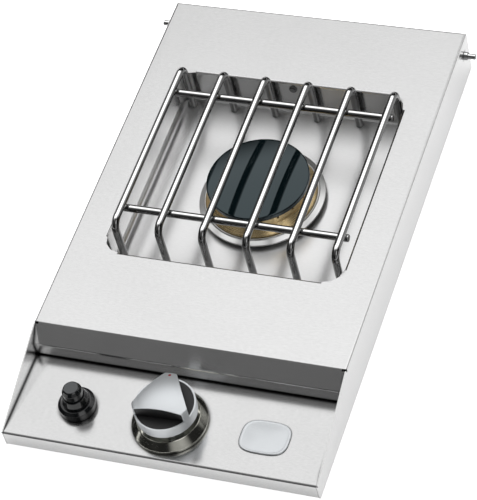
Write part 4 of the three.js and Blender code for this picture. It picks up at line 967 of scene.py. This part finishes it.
@dataclass
class Knob:
    """The knob with its dial ring."""

    place: Pair = (0.0, 44.5)
    heading: float = 92.0
    radius: float = 31.0
    top_radius: float = 30.4
    ledge: float = 50.5
    top: float = 67.4
    crown: float = 6.8
    facets: tuple[Pair, ...] = ((60.0, 19.8), (180.0, 16.5), (300.0, 19.8))
    arc_steps: int = 12
    pointer_reach: float = 26.2
    mark_reach: float = 34.6
    mark_height: float = 28.7
    dial_slope: Pair = (4.5, 5.7)
    dots: int = 6
    dot_angles: Pair = (-92.0, -16.0)
    dot_sizes: Pair = (0.6, 1.5)
    start_mark: float = -75.0

    def make(self) -> None:
        """Makes the knob, its pointer dot, its dial ring and the marks on it."""
        body = self._body()
        settle(body, Finishes.KNOB, "knob", ["knob_cap"])
        reach = self.pointer_reach
        slope = math.atan(2 * self.crown * reach / self.top_radius ** 2)
        lay = placed(*self._spot(reach, self.heading), self.dome(reach), self.heading)
        lay = lay @ Matrix.Rotation(slope, 4, "Y")
        disc = [(0, -0.5), (1.5, -0.5), (1.5, 0.12, 0.08), (0, 0.16)]
        dot = turned("pointer_dot", disc, (0, 0), ease=0.05, segments=24, turn=lay)
        settle(dot, Finishes.RED_PAINT, "knob")
        self._bezel()
        self._marks()

    def dome(self, radius: float) -> float:
        """Returns the height of the domed top at a distance from the axis."""
        return self.top - self.crown * (radius / self.top_radius) ** 2

    def _spot(self, reach: float, angle: float) -> Pair:
        """Returns the place at a distance from the axis, in the direction of an angle in degrees."""
        turn = math.radians(angle)
        return self.place[0] + reach * math.cos(turn), self.place[1] + reach * math.sin(turn)

    def _arc(self, radius: float, first: int, drop: float = 0.0) -> list[Triple]:
        """Returns the dome's outline from its first step inward, lowered by a drop."""
        radii = [radius * share / self.arc_steps for share in range(first, -1, -1)]
        return [(reach, self.dome(reach) - drop, 0) for reach in radii]

    def _domed(self, name: str, radius: float, bottom: float, drop: float) -> Piece:
        """Returns a round block under the dome, lowered by a drop."""
        profile = [(0, bottom), (radius, bottom, 0), *self._arc(radius, self.arc_steps, drop)]
        return turned(name, profile, self.place, ease=0.0, segments=128)

    def _body(self) -> Piece:
        """Returns the knob body, cut by its three facets."""
        low, hub = 38.0, 30.0
        profile = [(0, hub), (8.4, hub), (8.4, 46.8), (28.4, 46.8), (28.4, low), (31, low, 0.4),
                   (31, self.ledge, 1.0), (30.5, self.dome(30.4) + 0.4, 3.4),
                   *self._arc(28.2, self.arc_steps - 1)]
        body = turned("knob_body", profile, self.place, segments=128)
        cutters = []
        far, base, roof = 40.0, 30.0, 75.0
        for turn, distance in self.facets:
            place = placed(*self.place, angle=self.heading + turn)
            cutters.append(prism("step", corner_box(distance, far, -far, far), self.ledge, roof, place))
            pocket = self._domed("pocket", self.radius - 1.4, self.ledge - 1.0, 0.8)
            keep = prism("keep", corner_box(distance - 1.0, far, -far, far), base, roof, place)
            cutters.append(carve(pocket, keep, operation="INTERSECT"))
        socket = prism("socket", corner_box(-4.3, 4.3, -4.3, 3.2), 20, 54.3, placed(*self.place))
        carve(body, *cutters, socket)
        return soften(body, width=0.3, limit=35.0, segments=3)

    def _bezel(self) -> None:
        """Makes the dial ring."""
        base = 20.3
        profile = [(12, base), (38.2, base, 0.5), (38.2, base + 3.7, 0.6), (36.8, base + 5.5, 0.6),
                   (32.3, base + 11.2, 0.3), (31.9, base + 11.6, 0.2), (31.2, base + 11.2, 0.2),
                   (31.2, base + 1.5), (12, base + 1.5)]
        ring = turned("dial_ring", profile, self.place, segments=144)
        settle(ring, Finishes.DIAL, "base", ["knob_bezel"])

    def _marks(self) -> None:
        """Makes the growing dots on the dial ring and the long mark that they start from."""
        tilt = math.radians(90) - math.atan2(*self.dial_slope)
        disc = [(0, -0.3), (1, -0.3), (1, 0.12, 0.1), (0, 0.14)]
        dot = turned("dot", disc, (0, 0), ease=0.05, segments=20, turn=MILLIMETRES)
        start, step = (math.radians(angle) for angle in self.dot_angles)
        values = {"Count": self.dots, "Start Angle": start, "Step Angle": step, "Tilt": tilt,
                  "Ring Radius": self.mark_reach * MM, "Centre": at(*self.place, self.mark_height),
                  "First Size": self.dot_sizes[0], "Last Size": self.dot_sizes[1],
                  "Finish": Finishes.DARK_PAINT.material()}
        dots = Trees.run(Trees.ring(), "dial_dots", mesh_alone(dot), values)
        settle(dots, Finishes.DARK_PAINT, "base")
        spot = self._spot(self.mark_reach, self.start_mark)
        place = placed(*spot, self.mark_height, self.start_mark) @ Matrix.Rotation(tilt, 4, "Y")
        outline = rounded(corner_box(-2.2, 2.2, -0.7, 0.7), 0.6, True)
        bar = prism("dial_start_mark", outline, -0.3, 0.12, place)
        settle(bar, Finishes.DARK_PAINT, "base")


@dataclass
class Igniter:
    """The push button igniter above the panel."""

    place: Pair = (-98.5, 44.5)

    def make(self) -> None:
        """Makes the nut, the barrel and the button."""
        nut = [(11, 20.3), (18.7, 20.3, 0.4), (18.7, 28, 1.0), (15.7, 31, 1.0), (11, 31, 0.3)]
        barrel = [(9.2, 8.2), (10.7, 8.2), (10.7, 31.3, 0.2), (13.6, 31.3, 0.4), (13.6, 34.3, 0.8),
                  (11.6, 40, 0.5), (10.4, 40, 0.3), (10.4, 32.3), (9.2, 32.3)]
        button = [(0, 20.1), (8.9, 20.1), (8.9, 36.1), (10.1, 36.1), (10.1, 48, 1.2), (8.3, 51.3, 0.4),
                  (7.3, 52.3, 0.6), (0, 52.3)]
        for name, profile, body in (("igniter_nut", nut, "base"), ("igniter_barrel", barrel, "base"),
                                    ("igniter_button", button, "igniter_button")):
            piece = turned(name + "_round", profile, self.place, ease=0.2)
            settle(piece, Finishes.PLASTIC, body, [name])
        disc = [(0, 52.2), (6.9, 52.2), (6.9, 52.42, 0.1), (0, 52.45)]
        face = turned("button_face", disc, self.place, ease=0.05)
        settle(face, Finishes.SATIN_PLASTIC, "igniter_button")


@dataclass
class Plate:
    """The bare plate on the panel."""

    place: Pair = (98.0, 44.6)
    width: float = 50.0
    depth: float = 38.0
    panel: float = 20.0
    sides: int = 72
    squareness: float = 0.62
    crown: float = 2.45

    def make(self) -> None:
        """Makes a thin domed plate with a raised rim."""
        work = bmesh.new()
        levels = [(1.0, 0.05), (1.0, 1.0), (0.975, 1.5), (0.93, 1.7), (0.89, 1.45), (0.86, 1.4), (0.6, 2.0),
                  (0.3, 2.35)]
        rings = []
        for share, height in levels:
            ring = []
            for step in range(self.sides):
                angle = FULL_TURN * step / self.sides
                across, along = (math.copysign(abs(part) ** self.squareness, part)
                                 for part in (math.cos(angle), math.sin(angle)))
                x, y = across * self.width / 2 * share, along * self.depth / 2 * share
                ring.append(work.verts.new(at(self.place[0] + x, self.place[1] + y, self.panel + height)))
            rings.append(ring)
        work.faces.new(rings[0])
        skin(work, rings + [[work.verts.new(at(*self.place, self.panel + self.crown))]])
        plate = soften(close(work, "panel_plate"), limit=60.0)
        settle(plate, Finishes.KNOB, "base")


@dataclass
class HingePins:
    """The two pins that a lid hooks over, with their bushes."""

    y: float = 544.0
    z: float = 36.0

    def make(self) -> None:
        """Makes both pins and both bushes."""
        pin = [(0, 160.2), (5, 160.2, 0.4), (5, 163.2), (3, 163.2), (3, 178, 0.7), (0, 178)]
        bush = [(3.3, 165.3), (4.4, 165.3, 0.3), (4.4, 169.3, 0.5), (3.3, 169.3, 0.2)]
        for side, sense in (("left", -1), ("right", 1)):
            turn = placed(0, self.y, self.z, sense * 90, "Y")
            for name, profile in (("hinge_pin_" + side, pin), ("hinge_bush_" + side, bush)):
                piece = turned(name + "_round", profile, (0, 0), segments=40, turn=turn)
                settle(piece, Finishes.POLISHED, "base", [name])


@dataclass
class StemSpring:
    """The spring under the knob, which is pressed together as the knob is pushed in."""

    travel: float = 3.0

    def make(self) -> None:
        """Makes the spring and gives it a mesh of its own."""
        spring = copy_of("stem_spring", "stem_spring_wire", width=0.0, limit=60.0)
        settle(spring, Finishes.ZINC, "base", ["stem_spring"])
        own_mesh(spring)


@dataclass
class PlainNodes:
    """The nodes that keep their own shape and get a finish."""

    dress: dict[Finish, tuple[str, ...]] = field(default_factory=lambda: {
        Finishes.MATTE: numbered("knob_inlay", 3),
        Finishes.PLASTIC: ("spark_module",),
        Finishes.CERAMIC: ("electrode_ceramic",),
        Finishes.SILICONE: ("ignition_lead",),
        Finishes.POLISHED: ("pan_screw_back", "pan_screw_front", "electrode_pin"),
        Finishes.FITTING: (
            "valve_body", "valve_stem", "gas_jet", "gas_tube", "tube_nut", "inlet_fitting",
            "inlet_locknut"),
        Finishes.ZINC: (
            "burner_clamp_ring", "mixing_tube", "air_shutter", "shutter_screw", "valve_bonnet",
            "bonnet_screw_left", "bonnet_screw_right", "valve_bracket", "stem_washer", "tube_clip",
            *numbered("box_screw", 4), *numbered("clamp_screw", 3))})

    def make(self) -> None:
        """Assigns each finish to its nodes."""
        for finish, names in self.dress.items():
            for name in names:
                node = FRAME_NODES[name]
                if not node.material_slots:
                    node.data.materials.append(finish.material())
                for material_slot in node.material_slots:
                    material_slot.material = finish.material()
                LOG.info("%s keeps its shape, in %s", name, finish.name)


@dataclass
class Studio:
    """The white counter and floor, the lamps, the world and the camera."""

    counter: tuple[float, float, float, float] = (-225.0, 225.0, -115.0, 620.0)
    cut_out: tuple[float, float, float, float] = (-150.0, 150.0, 12.0, 545.0)
    glows: tuple[tuple[Triple, float, float, float], ...] = (
        ((-0.45, -0.48, 0.75), 0.78, 0.99, 0.17), ((0.52, -0.52, 0.68), 0.94, 0.985, 1.2),
        ((0.66, 0.56, 0.50), 0.88, 0.97, 0.9), ((0.60, -0.77, 0.22), 0.84, 0.97, 0.4))
    lamps: tuple[tuple[str, Triple, Triple, Pair, float], ...] = (
        ("overhead_lamp", (-0.25, 0.55, 1.9), (0.0, 0.05, 0.2), (1.9, 1.3), 10.0),
        ("left_lamp", (-1.7, -0.3, 1.2), (0.0, 0.0, 0.2), (1.0, 1.0), 3.0),
        ("front_lamp", (0.9, -1.6, 1.3), (0.0, 0.0, 0.2), (0.6, 0.6), 1.0))
    ceiling: float = 1.22
    least: float = 0.02
    stage_shown: float = 0.85
    stage_mirrored: float = 0.42
    stage_drop: float = 0.3
    room: float = 6.0
    edges: tuple[tuple[int, float, float], ...] = (
        (2, 0.56, 0.70), (1, -0.32, 0.04), (0, 0.72, 0.42), (0, -0.88, -0.66))
    focal: float = 2506.07
    frame_height: float = 500.0
    camera_place: Triple = (0.84656, -1.44847, 2.11704)
    camera_axes: tuple[Triple, Triple, Triple] = (
        (0.93430, 0.30702, -0.18115), (0.13234, -0.77057, -0.62347), (-0.33100, 0.55854, -0.76058))

    def make(self) -> None:
        """Builds the studio."""
        self._stage()
        self._lamps()
        self._world()
        self._camera()

    def _white(self) -> bpy.types.Material:
        """Returns the material of the counter and the floor, white to the camera but with soft shadows."""
        material, graph, shader = start_material("white_stage", {
            "Roughness": 0.9, "Specular IOR Level": 0.0, "Emission Color": WHITE})
        noise = graph.add("ShaderNodeTexNoise", {"Scale": 30.0, "Detail": 2.0})
        color = graph.blend(noise.outputs[0], (0.80, 0.80, 0.80, 1.0), (0.82, 0.82, 0.82, 1.0))
        graph.link(color, shader["Base Color"])
        path = graph.add("ShaderNodeLightPath").outputs
        mirrored = graph.math("MULTIPLY", path["Is Glossy Ray"], self.stage_mirrored)
        shown = graph.math("MULTIPLY_ADD", path["Is Camera Ray"], self.stage_shown, mirrored)
        graph.link(shown, shader["Emission Strength"])
        return material

    def _stage(self) -> None:
        """Makes the counter with its cut-out, and the floor under it."""
        white = self._white()
        work = bmesh.new()
        edges = [[work.verts.new(at(x, y, -self.stage_drop)) for x, y in corner_box(*edge)]
                 for edge in (self.counter, self.cut_out)]
        skin(work, edges)
        counter = close(work, "counter", outward=False)
        counter.visible_shadow = False
        floor = bpy.data.meshes.new("floor")
        far = corner_box(-self.room, self.room, -self.room, self.room)
        floor.from_pydata([(x, y, -MM / 2) for x, y in far], [], [(0, 1, 2, 3)])
        for obj in (counter, show("floor", floor)):
            obj.data.materials.append(white)

    def _lamps(self) -> None:
        """Hangs the soft lamps."""
        for name, place, aim, size, power in self.lamps:
            light = bpy.data.lights.new(name, "AREA")
            light.shape = "RECTANGLE"
            light.size, light.size_y = size
            light.energy = power
            lamp = show(name, light)
            lamp.location = place
            lamp.visible_glossy = False
            lamp.rotation_euler = (Vector(aim) - Vector(place)).to_track_quat("-Z", "Y").to_euler()

    def _world(self) -> None:
        """Makes the world: white to the camera, and a bright ceiling over a dark front in reflections."""
        world = bpy.data.worlds.new("studio_world")
        world.use_nodes = True
        bpy.context.scene.world = world
        graph = Graph(world.node_tree)
        background = world.node_tree.nodes["Background"]
        background.inputs["Color"].default_value = WHITE
        direction = graph.add("ShaderNodeTexCoord").outputs["Generated"]
        parts = graph.parts(direction)
        tent: Any = self.ceiling
        for axis, start, end in self.edges:
            tent = graph.math("MULTIPLY", tent, graph.step(parts[axis], start, end, low=0.0, high=1.0))
        for aim, start, end, strength in self.glows:
            toward = graph.add("ShaderNodeVectorMath", {0: direction, 1: aim}, operation="DOT_PRODUCT")
            glow = graph.step(toward.outputs[1], start, end, low=0.0, high=strength)
            tent = graph.math("ADD", tent, glow)
        shown = graph.math("ADD", tent, self.least)
        path = graph.add("ShaderNodeLightPath").outputs
        white = graph.add("ShaderNodeMix", {0: path["Is Camera Ray"], 2: shown, 3: 1.0}).outputs[0]
        graph.link(white, background.inputs["Strength"])

    def _camera(self) -> None:
        """Places the camera at the photograph's viewing angle."""
        camera = bpy.data.cameras.new("photo_camera")
        camera.sensor_width = 36.0
        camera.lens = self.focal / self.frame_height * camera.sensor_width
        camera.clip_end = 30.0
        obj = show("photo_camera", camera)
        right, down, ahead = (Vector(axis) for axis in self.camera_axes)
        turn = Matrix((right, -down, -ahead)).transposed()
        obj.matrix_world = Matrix.Translation(self.camera_place) @ turn.to_4x4()
        bpy.context.scene.camera = obj


def main() -> None:
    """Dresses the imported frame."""
    logging.basicConfig(level=logging.INFO, format="%(name)s: %(message)s")
    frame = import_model()
    FRAME_NODES.update(frame["nodes"])
    bpy.context.scene.view_settings.view_transform = "Standard"
    for part in (Studio(), PlainNodes(), SheetMetal(), Grate(), Burner(), Knob(), Igniter(), Plate(),
                 HingePins(), StemSpring()):
        part.make()
        LOG.info("%s is done", type(part).__name__)


if __name__ == "__main__":
    main()
